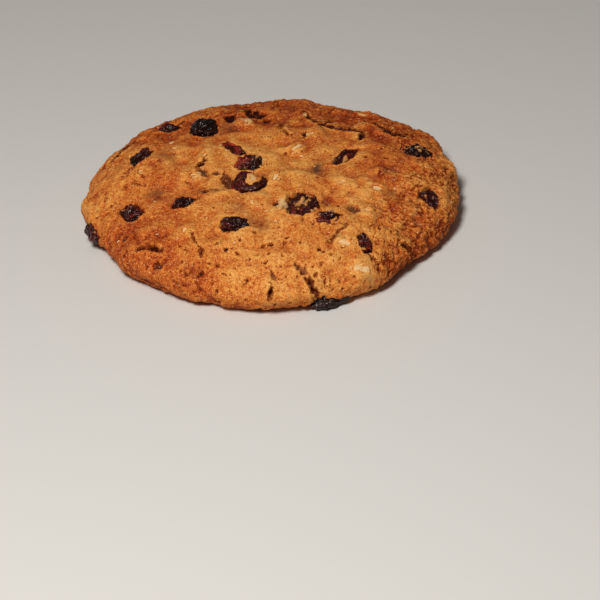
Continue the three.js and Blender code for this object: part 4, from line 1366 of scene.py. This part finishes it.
# %% [markdown]
# ## The table, the light and the camera
# Food looks right in one large soft light from the front, a little to the left, with a weak one from above to
# open the shadows. The plain view transform keeps browns from going grey. The camera stands where the cookie
# is seen from about 31 degrees above the table, close enough for its far side to look smaller.

# %% Table and lights
TABLE_REACH = 3  # metres, each way
TABLE_PAINT = (0.72, 0.71, 0.69, 1.0)
# Name, degrees round from the camera's side and up, distance and size in metres, watts, and colour.
LIGHTS = [
    ("key", -20, 53, 0.62, 0.14, 3.2, (1.0, 0.97, 0.92)),
    ("top", -30, 75, 0.8, 0.4, 0.3, (1.0, 0.99, 0.98)),
]
ROOM_COLOUR, ROOM_STRENGTH = (1.0, 0.88, 0.78, 1.0), 0.07


def make_table():
    """A pale table, far larger than the view, under the cookie's base."""
    mesh = bpy.data.meshes.new("table")
    ways = [(-1, -1), (1, -1), (1, 1), (-1, 1)]
    mesh.from_pydata([(x * TABLE_REACH, y * TABLE_REACH, 0) for x, y in ways], [], [(0, 1, 2, 3)])
    table = bpy.data.objects.new("table", mesh)
    bpy.context.scene.collection.objects.link(table)
    paint = Finish("pale_table")
    mesh.materials.append(paint.wear(TABLE_PAINT, 0.6, paint.noise(3.0) * 0.02))
    table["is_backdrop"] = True


def soft_light(name, azimuth, elevation, distance, size, watts, colour):
    """A square light at a bearing from the camera's side, degrees up, and metres away, facing the cookie."""
    lamp = bpy.data.lights.new(name, "AREA")
    lamp.shape, lamp.size, lamp.energy, lamp.color = "SQUARE", size, watts, colour
    light = bpy.data.objects.new(name, lamp)
    a, e = math.radians(azimuth), math.radians(elevation)
    back = Vector((math.sin(a) * math.cos(e), -math.cos(a) * math.cos(e), math.sin(e)))
    light.location = back * distance
    light.rotation_euler = back.to_track_quat("Z", "Y").to_euler()
    bpy.context.scene.collection.objects.link(light)


make_table()
for light in LIGHTS:
    soft_light(*light)
world = bpy.data.worlds.new("room")
world.use_nodes = True
world.node_tree.nodes["Background"].inputs["Color"].default_value = ROOM_COLOUR
world.node_tree.nodes["Background"].inputs["Strength"].default_value = ROOM_STRENGTH
bpy.context.scene.world = world
bpy.context.scene.view_settings.view_transform = "Standard"

# %% Camera
ELEVATION = math.radians(30.79)
ROLL = math.radians(3.145)
DISTANCE = 0.7
NEAREST = 0.01  # that it draws, in metres
SENSOR = 36  # millimetres
FRAME_PIXELS = 600
PIXELS_PER_MM = 3.8756
AIM_LEFT, AIM_UP = 27.2, 111.6  # of the cookie's middle from the picture's middle, in pixels


def make_camera():
    """The cookie's middle lies off the picture's middle, so the view turns by those pixels over the lens."""
    lens_pixels = PIXELS_PER_MM * DISTANCE / MM
    ahead = Vector((0, math.cos(ELEVATION), -math.sin(ELEVATION)))
    upright = Vector((0, math.sin(ELEVATION), math.cos(ELEVATION)))
    right = math.cos(ROLL) * Vector((1, 0, 0)) - math.sin(ROLL) * upright
    up = math.sin(ROLL) * Vector((1, 0, 0)) + math.cos(ROLL) * upright
    look = (lens_pixels * ahead + AIM_LEFT * right - AIM_UP * up).normalized()
    up = (up - up.dot(look) * look).normalized()
    camera = bpy.data.objects.new("camera", bpy.data.cameras.new("camera"))
    camera.data.sensor_width = SENSOR
    camera.data.lens = SENSOR * lens_pixels / FRAME_PIXELS
    camera.data.clip_start = NEAREST
    side = look.cross(up)
    camera.matrix_world = Matrix((side, up, -look)).transposed().to_4x4()
    camera.location = Vector(np.array([0, 0, HEIGHT / 2]) * MM - CENTRE * MM) - DISTANCE * ahead
    bpy.context.scene.collection.objects.link(camera)
    bpy.context.scene.camera = camera
    return camera


camera = make_camera()
print("lens:", round(camera.data.lens, 1), "mm, at", [round(v, 3) for v in camera.location])

# %% The sizes of the solids and of what was built round them
sizes = {"solids": cad_box, "visual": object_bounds()}
print({name: [round(1000 * (b - a), 2) for a, b in zip(*box)] for name, box in sizes.items()})
